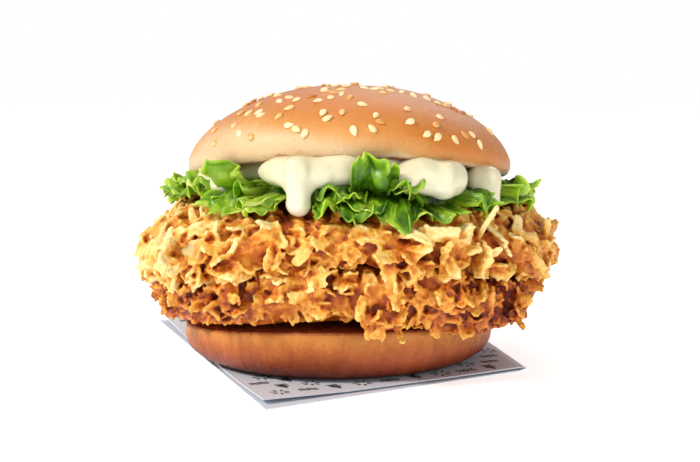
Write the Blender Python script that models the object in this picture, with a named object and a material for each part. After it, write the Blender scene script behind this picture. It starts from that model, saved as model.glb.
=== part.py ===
"""A chicken burger: a seeded bun, two crisp fried fillets, torn lettuce, mayonnaise and its paper.

The frame is in metres, +Z up. The origin lies under the middle of the bun, on the surface that
the burger stands on, and -Y is the front, where the filling shows most.
The whole stack is bent over a shallow arch, so that both ends hang lower than the middle.
"""

import math
import random

import bmesh
import bpy
from mathutils import Vector, noise

MM = 0.001
TURN = 2 * math.pi

# The stack: heights on the middle axis, and how far its two ends hang down.
PAPER_TOP = 1.2 * MM
HEEL_HEIGHT = 17.2 * MM
SEAM_HEIGHT = 37.6 * MM
FILLET_HEIGHT = 54.5 * MM
CROWN_BASE = 64.2 * MM
CROWN_HEIGHT = 25.0 * MM
CROWN_TILT = 4.8 * MM
END_DROP = 12.0 * MM
END_REACH = 66.0 * MM
GAP = 0.3 * MM

# The bun. The heel has slid a little to the left.
CROWN_RADIUS = 52.4 * MM
CROWN_LIP = 4.5 * MM
CROWN_LIP_START = 0.93
HEEL_RADIUS = 50.4 * MM
HEEL_FOOT_RADIUS = 41.0 * MM
HEEL_SLIP = -3.2 * MM
BUN_SEGMENTS = 48
BACK_SEEDS = 46
SEED_LENGTH = 3.4 * MM
SEED_WIDTH = 2.1 * MM
SEED_THICKNESS = 1.0 * MM
SEED_REACH = 0.985
SEED_SECTOR = (200, 340)
SEED_SECTOR_START = 0.36

# The fillets: half widths along X and Y, and the height of each one's rim over its underside.
UPPER_HALF = (64.5 * MM, 57.0 * MM)
LOWER_HALF = (61.0 * MM, 55.5 * MM)
UPPER_RIM_RISE = 5.0 * MM
LOWER_RIM_RISE = 13.0 * MM
SEAM_WAVE = 1.3 * MM
FILLET_SEGMENTS = 54
CRAG_HEIGHT = 3.2 * MM
CRAG_SIZE = 9.0 * MM
HANG_LOWEST = 12.5 * MM
FLAKE_COUNT = 24
FLAKE_WIDTH = (6.0 * MM, 11.0 * MM)
FLAKE_HEIGHT = (3.0 * MM, 5.5 * MM)

# The salad and the mayonnaise fill the gap between the upper fillet and the crown.
CEILING_CLEARANCE = 1.4 * MM
CRAG_ROOM = 2.4 * MM
LETTUCE_SHARE = 0.55
LETTUCE_RADIUS = 45.0 * MM
LEAF_ROOT = 38.0 * MM
LEAF_THICKNESS = 0.9 * MM
LEAF_FRILL = 2.2 * MM
LEAF_ROWS = 3
BACK_LEAVES = 8
LETTUCE_KEEP = 0.5
MAYO_RADIUS = 48.5 * MM

# Seeds at the front: bearing in degrees from +X, and share of the crown's radius in hundredths.
# The rest follow a rule over the top and round the back.
FRONT_SEEDS = (
    (202, 62), (202, 67), (205, 58), (208, 53), (211, 91), (218, 98), (219, 80), (220, 38),
    (224, 72), (224, 91), (226, 59), (226, 82), (230, 96), (232, 83), (235, 86), (236, 98),
    (237, 72), (240, 67), (244, 89), (246, 72), (246, 82), (248, 37), (250, 95), (252, 67),
    (253, 97), (256, 99), (255, 51), (257, 57), (257, 75), (259, 39), (261, 88), (262, 70),
    (263, 62), (263, 92), (266, 55), (267, 65), (269, 42), (268, 88), (271, 71), (272, 98),
    (276, 80), (278, 97), (280, 90), (281, 94), (282, 48), (288, 51), (290, 60), (293, 49),
    (292, 93), (294, 83), (298, 54), (297, 98), (301, 99), (303, 93), (306, 55), (308, 87),
    (309, 99), (311, 60), (315, 96), (319, 63), (321, 69), (320, 95), (322, 99), (327, 70),
    (330, 74), (336, 76),
)

# Leaves at the front: bearing in degrees from +X, width, then the distance from the middle and
# the height of the bend, and of the tip, in millimetres. The rest follow a rule round the back.
FRONT_LEAVES = (
    (188, 20, 54, 61, 59.5, 57),
    (201, 18, 54, 60, 60, 53),
    (214, 15, 55, 61, 58, 59),
    (229, 17, 57, 57, 56.5, 69),
    (234, 20, 56, 62, 60, 50.5),
    (248, 17, 54, 62, 58.5, 54),
    (267, 18, 53, 63, 57, 56),
    (278, 15, 58, 58, 56.5, 71),
    (276, 13, 54, 60, 58, 53),
    (284, 13, 55, 60, 61, 48.5),
    (290, 17, 55, 64, 58, 60),
    (299, 14, 56, 61, 61, 49),
    (312, 20, 55, 62, 61, 53),
    (327, 15, 55, 61, 60, 59),
    (338, 18, 55, 60, 62, 51),
    (351, 17, 55, 61, 61.5, 56),
)

# Mayonnaise that has run out: x, y, drop from the crown to its bottom, radius, and how many
# times as wide it is along the rim, in millimetres.
MAYO_DRIPS = (
    (-10.5, -47.4, 8.5, 4.6, 3.7),
    (-14.3, -52.4, 17.0, 4.1, 1.0),
    (21.8, -44.8, 8.5, 4.6, 2.3),
    (28.4, -45.2, 11.0, 4.2, 1.0),
    (-40.6, -29.2, 7.5, 4.6, 1.9),
    (41.8, -28.0, 6.5, 4.2, 1.8),
    (43.5, -31.0, 13.0, 3.3, 1.0),
    (31.0, 38.5, 6.5, 4.2, 1.8),
    (-12.0, 47.5, 7.0, 4.4, 1.6),
    (-44.0, 22.0, 6.0, 4.2, 1.2),
)

# The paper: a sheet folded in two, by the corners of its upper half on the surface, and how far
# the lower half has slipped out at its front and its left corner.
PAPER_CORNERS = ((-24.0, -70.5), (56.5, -23.5), (37.0, 79.0), (-69.5, 61.0))
PAPER_THICKNESS = 0.35 * MM
PAPER_SLIP = ((1.0, -4.6), (-1.2, 0.0))
PAPER_FLAT = 56.0 * MM
PAPER_LIFT = 0.05


def arch(x):
    """How far the stack hangs down at this distance from the middle plane."""
    return -END_DROP * (abs(x) / END_REACH) ** 2.4


def heel_top(x, y):
    return HEEL_HEIGHT + 0.65 * arch(x)


def smooth(value, low, high):
    """A smooth step from 0 below low to 1 above high."""
    share = min(1.0, max(0.0, (value - low) / (high - low)))
    return share * share * (3 - 2 * share)


def seam(x, y):
    """Where the two fillets meet: flat inside, wavy at the rim."""
    bearing = math.atan2(y, x)
    wave = 0.6 * math.sin(7 * bearing + 1.2) + 0.4 * math.sin(11 * bearing)
    return SEAM_HEIGHT + arch(x) + SEAM_WAVE * wave * smooth(math.hypot(x, y), 38 * MM, 54 * MM)


def fillet_top(x):
    return FILLET_HEIGHT + 0.35 * arch(x)


def upper_rim(x, y):
    """Height of the upper fillet's edge. It is thicker towards the two ends."""
    return seam(x, y) + UPPER_RIM_RISE - 0.35 * arch(x)


def crown_base(x, y):
    """The cut face of the crown, which leans back so that its front stands higher."""
    return CROWN_BASE + 0.8 * arch(x) - CROWN_TILT * y / CROWN_RADIUS


def ellipse_radius(angle, half):
    return 1 / math.hypot(math.cos(angle) / half[0], math.sin(angle) / half[1])


def fillet_outline(angle, half, phase):
    """The uneven outline of a fillet: an ellipse with a few slow bulges."""
    wave = 0.022 * math.sin(2 * angle + phase) + 0.018 * math.sin(5 * angle + 2 * phase)
    return ellipse_radius(angle, half) * (1 + wave)


def upper_height(x, y, share):
    """Height of the upper fillet's top, by its place from 0 in the middle to 1 at the rim."""
    rim = upper_rim(x, y)
    return rim + (fillet_top(x) - rim) * max(0.0, 1 - share**5) ** 0.5


def ceiling(x, y):
    """The lowest height at which salad and mayonnaise stay clear of the upper fillet."""
    reach = math.hypot(x, y)
    share = min(1.0, reach / fillet_outline(math.atan2(y, x), UPPER_HALF, 0.7))
    room = CEILING_CLEARANCE + CRAG_ROOM * smooth(reach, 46 * MM, 54 * MM)
    return upper_height(x, y, share) + room


def mayo_floor(x, y):
    return ceiling(x, y) + LETTUCE_SHARE * (crown_base(x, y) - ceiling(x, y))


def new_material(name, colour, roughness):
    material = bpy.data.materials.new(name)
    material.use_nodes = True
    shader = material.node_tree.nodes["Principled BSDF"]
    shader.inputs["Base Color"].default_value = (*colour, 1.0)
    shader.inputs["Roughness"].default_value = roughness
    return material


def new_object(name, points, faces, material=None):
    mesh = bpy.data.meshes.new(name)
    mesh.from_pydata([tuple(p) for p in points], [], faces)
    shell = bmesh.new()
    shell.from_mesh(mesh)
    bmesh.ops.recalc_face_normals(shell, faces=shell.faces)
    shell.to_mesh(mesh)
    shell.free()
    if material:
        mesh.materials.append(material)
    obj = bpy.data.objects.new(name, mesh)
    bpy.context.scene.collection.objects.link(obj)
    return obj


def solid_of_rings(rings, bottom, top):
    """Points and faces of a closed solid through these rings, from its bottom to its top point.

    Each ring runs anticlockwise seen from above. A ring may have half or twice as many points
    as the one below it.
    """
    points = [bottom]
    faces = []
    starts = []
    for ring in rings:
        starts.append(len(points))
        points.extend(ring)
    points.append(top)
    first = len(rings[0])
    for k in range(first):
        faces.append((0, starts[0] + (k + 1) % first, starts[0] + k))
    for below, above, low, high in zip(rings, rings[1:], starts, starts[1:]):
        n, m = len(below), len(above)
        for k in range(max(n, m)):
            if n == m:
                faces.append((low + k, low + (k + 1) % n, high + (k + 1) % m, high + k))
            elif k % 2 == 0 and m < n:
                b0, b1 = high + k // 2, high + (k // 2 + 1) % m
                a0, a1, a2 = low + k, low + k + 1, low + (k + 2) % n
                faces += [(a0, a1, b0), (a1, b1, b0), (a1, a2, b1)]
            elif k % 2 == 0:
                a0, a1 = low + k // 2, low + (k // 2 + 1) % n
                b0, b1, b2 = high + k, high + k + 1, high + (k + 2) % m
                faces += [(a0, b1, b0), (a0, a1, b1), (a1, b2, b1)]
    last = len(rings[-1])
    for k in range(last):
        faces.append((len(points) - 1, starts[-1] + k, starts[-1] + (k + 1) % last))
    return points, faces


def angles(count):
    return [TURN * k / count for k in range(count)]


def sheet_solid(front, back):
    """Points and faces of the closed solid between two grids of points, row by row."""
    rows, columns = len(front), len(front[0])
    points = [p for row in front for p in row] + [p for row in back for p in row]
    offset = rows * columns
    faces = []
    for i in range(rows - 1):
        for j in range(columns - 1):
            a, b = i * columns + j, i * columns + j + 1
            c, d = b + columns, a + columns
            faces += [(a, b, c), (a, c, d)]
            faces += [(offset + a, offset + c, offset + b), (offset + a, offset + d, offset + c)]
    border = [j for j in range(columns)]
    border += [i * columns + columns - 1 for i in range(1, rows)]
    border += [(rows - 1) * columns + j for j in range(columns - 2, -1, -1)]
    border += [i * columns for i in range(rows - 2, 0, -1)]
    for a, b in zip(border, border[1:] + border[:1]):
        faces += [(a, offset + a, offset + b), (a, offset + b, b)]
    return points, faces


def remove(obj):
    mesh = obj.data
    bpy.data.objects.remove(obj)
    bpy.data.meshes.remove(mesh)


def is_closed(shell):
    return all(len(edge.link_faces) == 2 for edge in shell.edges)


def evaluated(obj):
    graph = bpy.context.evaluated_depsgraph_get()
    return bpy.data.meshes.new_from_object(obj.evaluated_get(graph))


def triangulated(mesh, shortest=0.0):
    """The mesh as triangles, without slivers shorter than this."""
    shell = bmesh.new()
    shell.from_mesh(mesh)
    bmesh.ops.triangulate(shell, faces=shell.faces)
    if shortest > 0:
        bmesh.ops.dissolve_degenerate(shell, dist=shortest, edges=shell.edges)
        bmesh.ops.triangulate(shell, faces=shell.faces)
    return shell


def combine(body, pieces, operation="UNION"):
    """One Boolean with all the pieces, applied to the body. The pieces are removed.

    Where the exact solver leaves a hole, the manifold one takes its place.
    """
    group = bpy.data.collections.new("pieces")
    bpy.context.scene.collection.children.link(group)
    for piece in pieces:
        group.objects.link(piece)
    modifier = body.modifiers.new("combine", "BOOLEAN")
    modifier.operation = operation
    modifier.operand_type = "COLLECTION"
    modifier.collection = group
    for solver in ("EXACT", "MANIFOLD"):
        modifier.solver = solver
        joined = evaluated(body)
        shell = triangulated(joined)
        closed = is_closed(shell)
        shell.free()
        if closed:
            break
    body.modifiers.clear()
    body.data = joined
    for piece in pieces:
        remove(piece)
    bpy.data.collections.remove(group)
    keep_largest(body)
    return body


def keep_largest(obj):
    """Drops slivers, loose scraps and sealed hollows, so that one body stays."""
    for shortest in (0.05 * MM, 0.02 * MM, 0.005 * MM, 0.0):
        shell = triangulated(obj.data, shortest)
        if is_closed(shell) or shortest == 0:
            break
        shell.free()
    unseen = set(shell.verts)
    bodies = []
    while unseen:
        found = {unseen.pop()}
        edge = list(found)
        while edge:
            near = {e.other_vert(v) for v in edge for e in v.link_edges} - found
            found |= near
            edge = list(near)
        unseen -= found
        bodies.append(found)
    main = max(bodies, key=len)
    bmesh.ops.delete(shell, geom=[v for v in shell.verts if v not in main], context="VERTS")
    shell.to_mesh(obj.data)
    shell.free()


def simplify(obj, share):
    """Fewer triangles, down to this share of them or the lowest that leaves the solid closed."""
    full = obj.data
    while share < 1:
        modifier = obj.modifiers.new("simplify", "DECIMATE")
        modifier.ratio = share
        obj.data = evaluated(obj)
        obj.modifiers.clear()
        shell = triangulated(obj.data)
        closed = is_closed(shell)
        shell.free()
        if closed:
            return obj
        obj.data = full
        share += 0.03
    return obj


def frame_at(surface, u, v, step=0.01):
    """Point, outward normal and one tangent of a surface given as a function of two numbers."""
    p = surface(u, v)
    along_u = surface(u + step, v) - surface(u - step, v)
    along_v = surface(u, v + step) - surface(u, v - step)
    normal = along_u.cross(along_v).normalized()
    return p, normal, along_u.normalized()


# The bun


def bun_wobble(angle):
    return 1 + 0.008 * math.sin(3 * angle + 1.0) + 0.005 * math.sin(5 * angle + 2.0)


def crown_at(share, height, angle, grow=0.0):
    """A point of the crown: its share of the radius, its height over the cut face, its bearing."""
    radius = CROWN_RADIUS * share * bun_wobble(angle) + (grow if share > 0 else 0)
    x, y = radius * math.cos(angle), radius * math.sin(angle)
    return Vector((x, y, crown_base(x, y) + height))


def crown_dome(angle, share):
    """The browned top of the crown."""
    rise = (CROWN_HEIGHT - CROWN_LIP) * max(0.0, 1 - share**2) ** 0.54
    return crown_at(share, CROWN_LIP + rise, angle)


def crown_body(name, material=None, grow=0.0):
    rings = []
    for share, count in ((0.4, BUN_SEGMENTS // 2), (0.8, BUN_SEGMENTS), (0.93, BUN_SEGMENTS)):
        rings.append([crown_at(share, -grow, a, grow) for a in angles(count)])
    for turn in (0.45, 1.0):
        share = CROWN_LIP_START + (1 - CROWN_LIP_START) * math.sin(turn * math.pi / 2)
        height = CROWN_LIP * (1 - math.cos(turn * math.pi / 2))
        rings.append([crown_at(share, height - grow, a, grow) for a in angles(BUN_SEGMENTS)])
    for share in (0.98, 0.92, 0.82, 0.68):
        rings.append([crown_dome(a, share) for a in angles(BUN_SEGMENTS)])
    for share, count in ((0.5, BUN_SEGMENTS // 2), (0.28, BUN_SEGMENTS // 4)):
        rings.append([crown_dome(a, share) for a in angles(count)])
    return new_object(
        name, *solid_of_rings(rings, crown_at(0, -grow, 0), crown_dome(0, 0)), material
    )


def seed_solid(centre, normal, heading):
    """A sesame seed, a flat drop with a pointed end, partly sunk in the crust."""
    side = normal.cross(heading)
    rings = []
    for place, width in ((-0.26, 0.42), (0.14, 0.50)):
        ring = []
        for a in (TURN / 4, TURN * 7 / 12, TURN * 11 / 12):
            across = side * (SEED_WIDTH * width * math.cos(a))
            up = normal * (SEED_THICKNESS * width * 1.6 * math.sin(a))
            ring.append(centre + heading * (SEED_LENGTH * place) + across + up)
        rings.append(ring)
    tail = centre - heading * (SEED_LENGTH * 0.5)
    tip = centre + heading * (SEED_LENGTH * 0.5)
    return solid_of_rings(rings, tail, tip)


def seed_bearings(rng):
    """Bearing and share of the crown's radius of each seed. Some lie in small clusters."""
    found = [(math.radians(bearing), share / 100) for bearing, share in FRONT_SEEDS]
    low, high = (math.radians(bearing) for bearing in SEED_SECTOR)
    turn = 0
    while len(found) < len(FRONT_SEEDS) + BACK_SEEDS:
        turn += 1
        bearing = (turn * math.pi * (3 - math.sqrt(5)) + rng.uniform(-0.16, 0.16)) % TURN
        share = (turn / (1.3 * BACK_SEEDS)) ** 0.5 + rng.uniform(-0.03, 0.03)
        share = min(SEED_REACH, max(0.06, share))
        if low < bearing < high and share > SEED_SECTOR_START:
            continue
        found.append((bearing, share))
        if turn % 5 == 0:
            shift = rng.choice((-1, 1)) * SEED_LENGTH * 0.85 / (CROWN_RADIUS * share)
            found.append((bearing + shift, min(SEED_REACH, share + rng.uniform(-0.02, 0.02))))
    return found


def seed_places():
    """Middle, outward normal and heading of each seed."""
    rng = random.Random(11)
    places = []
    for bearing, share in seed_bearings(rng):
        centre, normal, along = frame_at(crown_dome, bearing, min(SEED_REACH, share))
        normal = -normal if normal.z < 0 else normal
        turn = rng.uniform(0, TURN)
        heading = along * math.cos(turn) + normal.cross(along) * math.sin(turn)
        places.append((centre + normal * (SEED_THICKNESS * 0.2), normal, heading))
    return places


def make_crown(material):
    """The crown with its seeds fused on."""
    seeds = [new_object("seed", *seed_solid(*place)) for place in seed_places()]
    return combine(crown_body("crown", material), seeds)


def make_heel(material):
    """The bottom half of the bun, with a flat foot and a cut top face."""
    swell = HEEL_RADIUS - HEEL_FOOT_RADIUS
    profile = [(HEEL_FOOT_RADIUS * 0.5, 0.0), (HEEL_FOOT_RADIUS, 0.0)]
    for turn in (0.3, 0.6, 1.0):
        out = math.sin(turn * math.pi / 2)
        profile.append((HEEL_FOOT_RADIUS + swell * out, 0.62 * (1 - math.cos(turn * math.pi / 2))))
    profile += [(HEEL_RADIUS, 0.84), (HEEL_RADIUS * 0.985, 1.0), (HEEL_RADIUS * 0.75, 1.0)]
    profile += [(HEEL_RADIUS * 0.4, 1.0)]
    foot = PAPER_TOP + GAP
    rings = []
    for radius, share in profile:
        count = BUN_SEGMENTS // 2 if radius < HEEL_RADIUS * 0.45 else BUN_SEGMENTS
        ring = []
        for a in angles(count):
            x = radius * bun_wobble(a + 2.0) * math.cos(a) + HEEL_SLIP
            y = radius * bun_wobble(a + 2.0) * math.sin(a)
            ring.append(Vector((x, y, foot + share * (heel_top(x, y) - foot))))
        rings.append(ring)
    bottom, top = Vector((HEEL_SLIP, 0, foot)), Vector((HEEL_SLIP, 0, heel_top(HEEL_SLIP, 0)))
    return new_object("heel", *solid_of_rings(rings, bottom, top), material)


# The fried fillets


def crag(point, seed):
    """Relief of the fried crust, from about -0.4 in a hollow to 1 on a crag."""
    place = point / CRAG_SIZE + Vector((seed, 0, 0))
    ridge = 1 - 2.2 * abs(noise.noise(place))
    return 0.65 * ridge + 0.5 * noise.noise(place * 2.3)


def upper_surface(angle, lift):
    """A point of the upper fillet. lift runs from -1 at the underside to 1 on the top."""
    share = 1 - abs(lift) ** 2.2 if abs(lift) < 1 else 0.0
    radius = fillet_outline(angle, UPPER_HALF, 0.7) * share
    x, y = radius * math.cos(angle), radius * math.sin(angle)
    if lift > 0:
        return Vector((x, y, upper_height(x, y, share)))
    rim = upper_rim(x, y)
    drop = (rim - seam(x, y) - GAP) * max(0.0, 1 - share**9) ** 0.5
    return Vector((x, y, rim - drop))


def lower_surface(angle, lift):
    """A point of the lower fillet. Its front underside curls up from the heel."""
    share = 1 - abs(lift) ** 2.2 if abs(lift) < 1 else 0.0
    radius = fillet_outline(angle, LOWER_HALF, 3.1) * share
    x, y = radius * math.cos(angle), radius * math.sin(angle)
    rim = heel_top(x, y) + LOWER_RIM_RISE - 0.1 * arch(x)
    if lift > 0:
        rise = seam(x, y) - GAP - rim
        return Vector((x, y, rim + rise * max(0.0, 1 - share**9) ** 0.5))
    drop = rim - heel_top(x, y) - GAP
    flatness = 4 + 4 * math.cos(angle) ** 2
    return Vector((x, y, rim - drop * max(0.0, 1 - share**flatness) ** 0.5))


def upper_allows(p):
    """Whether a point of the upper fillet is clear of what lies under and over it."""
    below = p.z > seam(p.x, p.y) + GAP / 2
    inside = math.hypot(p.x, p.y) < CROWN_RADIUS + 9 * MM
    above = p.z < ceiling(p.x, p.y) - GAP or not inside
    return below and above


def lower_allows(p):
    """Whether a point of the lower fillet is clear of the heel and of the upper fillet."""
    outside = math.hypot(p.x - HEEL_SLIP, p.y) > HEEL_RADIUS + 1.2 * MM
    above = p.z > heel_top(p.x, p.y) + GAP / 2 or outside and p.z > HANG_LOWEST
    return above and p.z < seam(p.x, p.y) - GAP / 2


LIFTS = (-0.86, -0.66, -0.52, -0.40, -0.28, -0.16, 0.0, 0.16, 0.28, 0.40, 0.52, 0.66, 0.86)


def fillet_body(name, surface, allows, seed, material):
    """The core of a fillet with the large relief of its crust."""
    rings = []
    for lift in LIFTS:
        count = FILLET_SEGMENTS // 2 if abs(lift) > 0.8 else FILLET_SEGMENTS
        ring = []
        for a in angles(count):
            flat, normal, _ = frame_at(surface, a, min(0.98, max(-0.98, lift)))
            strength = max(0.0, min(1.0, (0.78 - abs(lift)) / 0.2))
            point = flat + normal * (CRAG_HEIGHT * strength * crag(flat, seed))
            while not allows(point) and strength > 0.01:
                strength *= 0.5
                point = flat + (point - flat) * 0.5
            ring.append(point)
        rings.append(ring)
    return new_object(name, *solid_of_rings(rings, surface(0, -1), surface(0, 1)), material)


def flake_solid(root, normal, along, width, height, curl):
    """A thin crisp flake that stands on the crust and bends over along one side."""
    side = normal.cross(along)
    front, back = [], []
    profile = ((-0.5, 0.0, 0.7, 2.0), (0.5, 0.25, 1.0, 1.6), (1.0, 0.9, 0.6, 1.0))
    for rise, lean, spread, thick in profile:
        row_front, row_back = [], []
        for column in (-1, 0, 1):
            bend = curl * abs(column) * (0.4 + rise)
            middle = root + normal * (height * rise) + along * (height * lean + bend)
            middle += side * (width * 0.5 * spread * column)
            row_front.append(middle + along * (thick * MM / 2))
            row_back.append(middle - along * (thick * MM / 2))
        front.append(row_front)
        back.append(row_back)
    return sheet_solid(front, back)


def make_fillet(name, surface, allows, seed, hanging, material):
    """A fillet with its flakes fused on, most of them on the rim that shows.

    hanging lists bearings in degrees where a flake hangs down from the underside of the rim.
    """
    body = fillet_body(name, surface, allows, seed, material)
    rng = random.Random(seed)
    flakes = []
    places = [(math.radians(bearing), -0.34, -math.pi / 2) for bearing in hanging]
    places += [(TURN * k / FLAKE_COUNT, None, None) for k in range(FLAKE_COUNT)]
    for start, level, way in places:
        for _ in range(14):
            bearing = start + rng.uniform(-0.5, 0.5) * TURN / FLAKE_COUNT
            lift = rng.uniform(-0.42, 0.46) if level is None else level
            root, normal, along = frame_at(surface, bearing, lift)
            turn = rng.uniform(0, TURN) if way is None else way
            heading = along * math.cos(turn) + normal.cross(along) * math.sin(turn)
            root += normal * (CRAG_HEIGHT * 0.2)
            width, height = rng.uniform(*FLAKE_WIDTH), rng.uniform(*FLAKE_HEIGHT)
            curl = rng.uniform(-1.8, 1.8) * MM
            points, faces = flake_solid(root, normal, heading, width, height, curl)
            if all(allows(p) for p in points):
                flakes.append(new_object("flake", points, faces))
                break
    return combine(body, flakes)


# Mayonnaise


def mayo_core(name, material=None, grow=0.0):
    """The layer under the crown, with a rounded edge."""
    outline = []
    for a in angles(BUN_SEGMENTS // 2):
        radius = MAYO_RADIUS * (1 + 0.03 * math.sin(4 * a + 1))
        outline.append((radius * math.cos(a), radius * math.sin(a)))
    lows, highs = [], []
    for share in (0.5, 0.95):
        places = [(x * share, y * share) for x, y in outline]
        lows.append([Vector((x, y, mayo_floor(x, y) + GAP - grow)) for x, y in places])
        highs.append([Vector((x, y, crown_base(x, y) - 1.5 * GAP + grow)) for x, y in places])
    edge = []
    for x, y in outline:
        out = 1 + grow / MAYO_RADIUS
        edge.append(Vector((x * out, y * out, (mayo_floor(x, y) + crown_base(x, y)) / 2)))
    rings = lows + [edge] + highs[::-1]
    bottom = Vector((0, 0, mayo_floor(0, 0) + GAP - grow))
    top = Vector((0, 0, crown_base(0, 0) - 1.5 * GAP + grow))
    return new_object(name, *solid_of_rings(rings, bottom, top), material)


def drip_solid(x, y, drop, radius, stretch, grow):
    """A drop with round ends that hangs from under the crown, wider along the rim by stretch."""
    top = crown_base(x, y) - 1.5 * GAP + grow
    bottom = crown_base(x, y) - drop - grow
    cap = min(radius, (top - bottom) / 2)
    levels = [(bottom + cap * 0.25, 0.66), (bottom + cap * 0.85, 1.0)]
    if drop > 3 * radius:
        levels.append((bottom + radius * 1.8, 0.86))
    levels += [(top - cap * 0.7, 0.95), (top - cap * 0.15, 0.6)]
    bearing = math.atan2(y, x)
    out = Vector((math.cos(bearing), math.sin(bearing), 0))
    along = Vector((-out.y, out.x, 0)) * stretch
    foot = Vector((x, y, 0))
    rings = []
    for z, share in levels:
        ring = []
        for a in angles(8):
            reach = radius * share + grow
            ring.append(foot + (out * math.cos(a) + along * math.sin(a)) * reach + Vector((0, 0, z)))
        rings.append(ring)
    return solid_of_rings(rings, Vector((x, y, bottom)), Vector((x, y, top)))


def mayo_drips(grow=0.0):
    drips = []
    for x, y, drop, radius, stretch in MAYO_DRIPS:
        shape = drip_solid(x * MM, y * MM, drop * MM, radius * MM, stretch, grow)
        drips.append(new_object("drip", *shape))
    return drips


def make_mayo(material):
    return combine(mayo_core("mayonnaise", material), mayo_drips())


# Lettuce


def lettuce_core(material):
    """The packed salad in the middle, which the leaves at the rim grow out of."""
    outline = []
    for a in angles(BUN_SEGMENTS // 2):
        radius = LETTUCE_RADIUS * (1 + 0.05 * math.sin(3 * a))
        outline.append((radius * math.cos(a), radius * math.sin(a)))
    rings = []
    for share, level in ((0.5, 0.1), (0.8, 0.1), (1.0, 0.1), (1.0, 0.75), (0.6, 0.9)):
        ring = []
        for x, y in outline:
            low = ceiling(x * share, y * share)
            room = mayo_floor(x * share, y * share) - low
            ring.append(Vector((x * share, y * share, low + level * room)))
        rings.append(ring)
    low, high = ceiling(0, 0), mayo_floor(0, 0)
    bottom, top = Vector((0, 0, low + 0.1 * (high - low))), Vector((0, 0, high - 0.1 * (high - low)))
    return new_object("lettuce", *solid_of_rings(rings, bottom, top), material)


def leaf_point(leaf, across, out):
    """A point of a leaf: across from -1 to 1, out from 0 at the root to 1 at the frilled edge."""
    bearing, width, bend_reach, bend_height, reach, tip, phase = leaf
    root_x, root_y = LEAF_ROOT * math.cos(bearing), LEAF_ROOT * math.sin(bearing)
    root = ceiling(root_x, root_y) + 2.4 * MM
    out_here = out * (1 - 0.25 * across**2)
    a, b, c = (1 - out_here) ** 2, 2 * out_here * (1 - out_here), out_here**2
    radius = a * LEAF_ROOT + b * bend_reach + c * reach
    height = a * root + b * bend_height + c * tip
    slope_r = (1 - out_here) * (bend_reach - LEAF_ROOT) + out_here * (reach - bend_reach)
    slope_z = (1 - out_here) * (bend_height - root) + out_here * (tip - bend_height)
    length = math.hypot(slope_r, slope_z)
    frill = LEAF_FRILL * max(0.0, out) ** 1.3 * math.sin(across * 4.6 + phase)
    radius -= frill * slope_z / length
    height += frill * slope_r / length
    angle = bearing + across * width / 2 / reach * (0.7 + 0.3 * out)
    x, y = radius * math.cos(angle), radius * math.sin(angle)
    return Vector((x, y, max(height, ceiling(x, y) + 2 * GAP + LEAF_THICKNESS)))


def leaf_solid(leaf):
    columns = 5 if leaf[1] < 18.5 * MM else 7
    front, back = [], []
    for i in range(LEAF_ROWS + 1):
        row_front, row_back = [], []
        for j in range(columns):
            across, out = 2 * j / (columns - 1) - 1, i / LEAF_ROWS
            point = leaf_point(leaf, across, out)
            _, normal, _ = frame_at(lambda u, v: leaf_point(leaf, u, v), across, out)
            row_front.append(point + normal * (LEAF_THICKNESS / 2))
            row_back.append(point - normal * (LEAF_THICKNESS / 2))
        front.append(row_front)
        back.append(row_back)
    return sheet_solid(front, back)


def leaves():
    rng = random.Random(5)
    found = []
    for leaf in FRONT_LEAVES:
        lengths = [value * MM for value in leaf[1:]]
        found.append((math.radians(leaf[0]), *lengths, rng.uniform(0, TURN)))
    for k in range(BACK_LEAVES):
        bearing = math.radians(4 + 172 * k / (BACK_LEAVES - 1) + rng.uniform(-4, 4))
        x, y = MAYO_RADIUS * math.cos(bearing), MAYO_RADIUS * math.sin(bearing)
        bend = ceiling(x, y) + 0.4 * (crown_base(x, y) - ceiling(x, y))
        width, reach = rng.uniform(17, 22) * MM, rng.uniform(56, 61) * MM
        tip = bend - rng.uniform(2, 7) * MM
        found.append((bearing, width, 53 * MM, bend, reach, tip, rng.uniform(0, TURN)))
    return found


def make_lettuce(material):
    pieces = [new_object("leaf", *leaf_solid(leaf)) for leaf in leaves()]
    lettuce = combine(lettuce_core(material), pieces)
    room = combine(mayo_core("mayo_room", grow=GAP), mayo_drips(grow=GAP))
    rooms = [room, crown_body("crown_room", grow=GAP)]
    return simplify(combine(lettuce, rooms, "DIFFERENCE"), LETTUCE_KEEP)


# The paper


def make_paper(material):
    """A sheet folded in two along its right edge. The lower half has slipped out at the left."""
    front, right, back, left = (Vector((x * MM, y * MM, 0)) for x, y in PAPER_CORNERS)
    front_slip, left_slip = (Vector((x * MM, y * MM, 0)) for x, y in PAPER_SLIP)
    low, high = PAPER_THICKNESS / 2, PAPER_TOP - PAPER_THICKNESS / 2
    fold = (right - front).normalized() * (PAPER_THICKNESS / 2)
    up = Vector((0, 0, PAPER_THICKNESS / 2))
    rows = [(share, low, 1 - share, -up) for share in (0.0, 0.15, 0.5, 0.97)]
    rows += [(1.0, (low + high) / 2, 0.0, fold)]
    rows += [(share, high, 0.0, up) for share in (0.97, 0.75, 0.5, 0.3, 0.15, 0.0)]
    outer, inner = [], []
    for share, height, slipped, offset in rows:
        near = front.lerp(right, share) + front_slip * slipped
        far = left.lerp(back, share) + left_slip * slipped
        line = []
        for j in range(6):
            place = near.lerp(far, j / 5)
            lift = PAPER_LIFT * max(0.0, place.length - PAPER_FLAT) if height == high else 0.0
            line.append(place + Vector((0, 0, height + lift)))
        outer.append([p + offset for p in line])
        inner.append([p - offset for p in line])
    return new_object("wrapping_paper", *sheet_solid(outer, inner), material)


def clear_scene():
    for obj in list(bpy.data.objects):
        bpy.data.objects.remove(obj)


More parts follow.
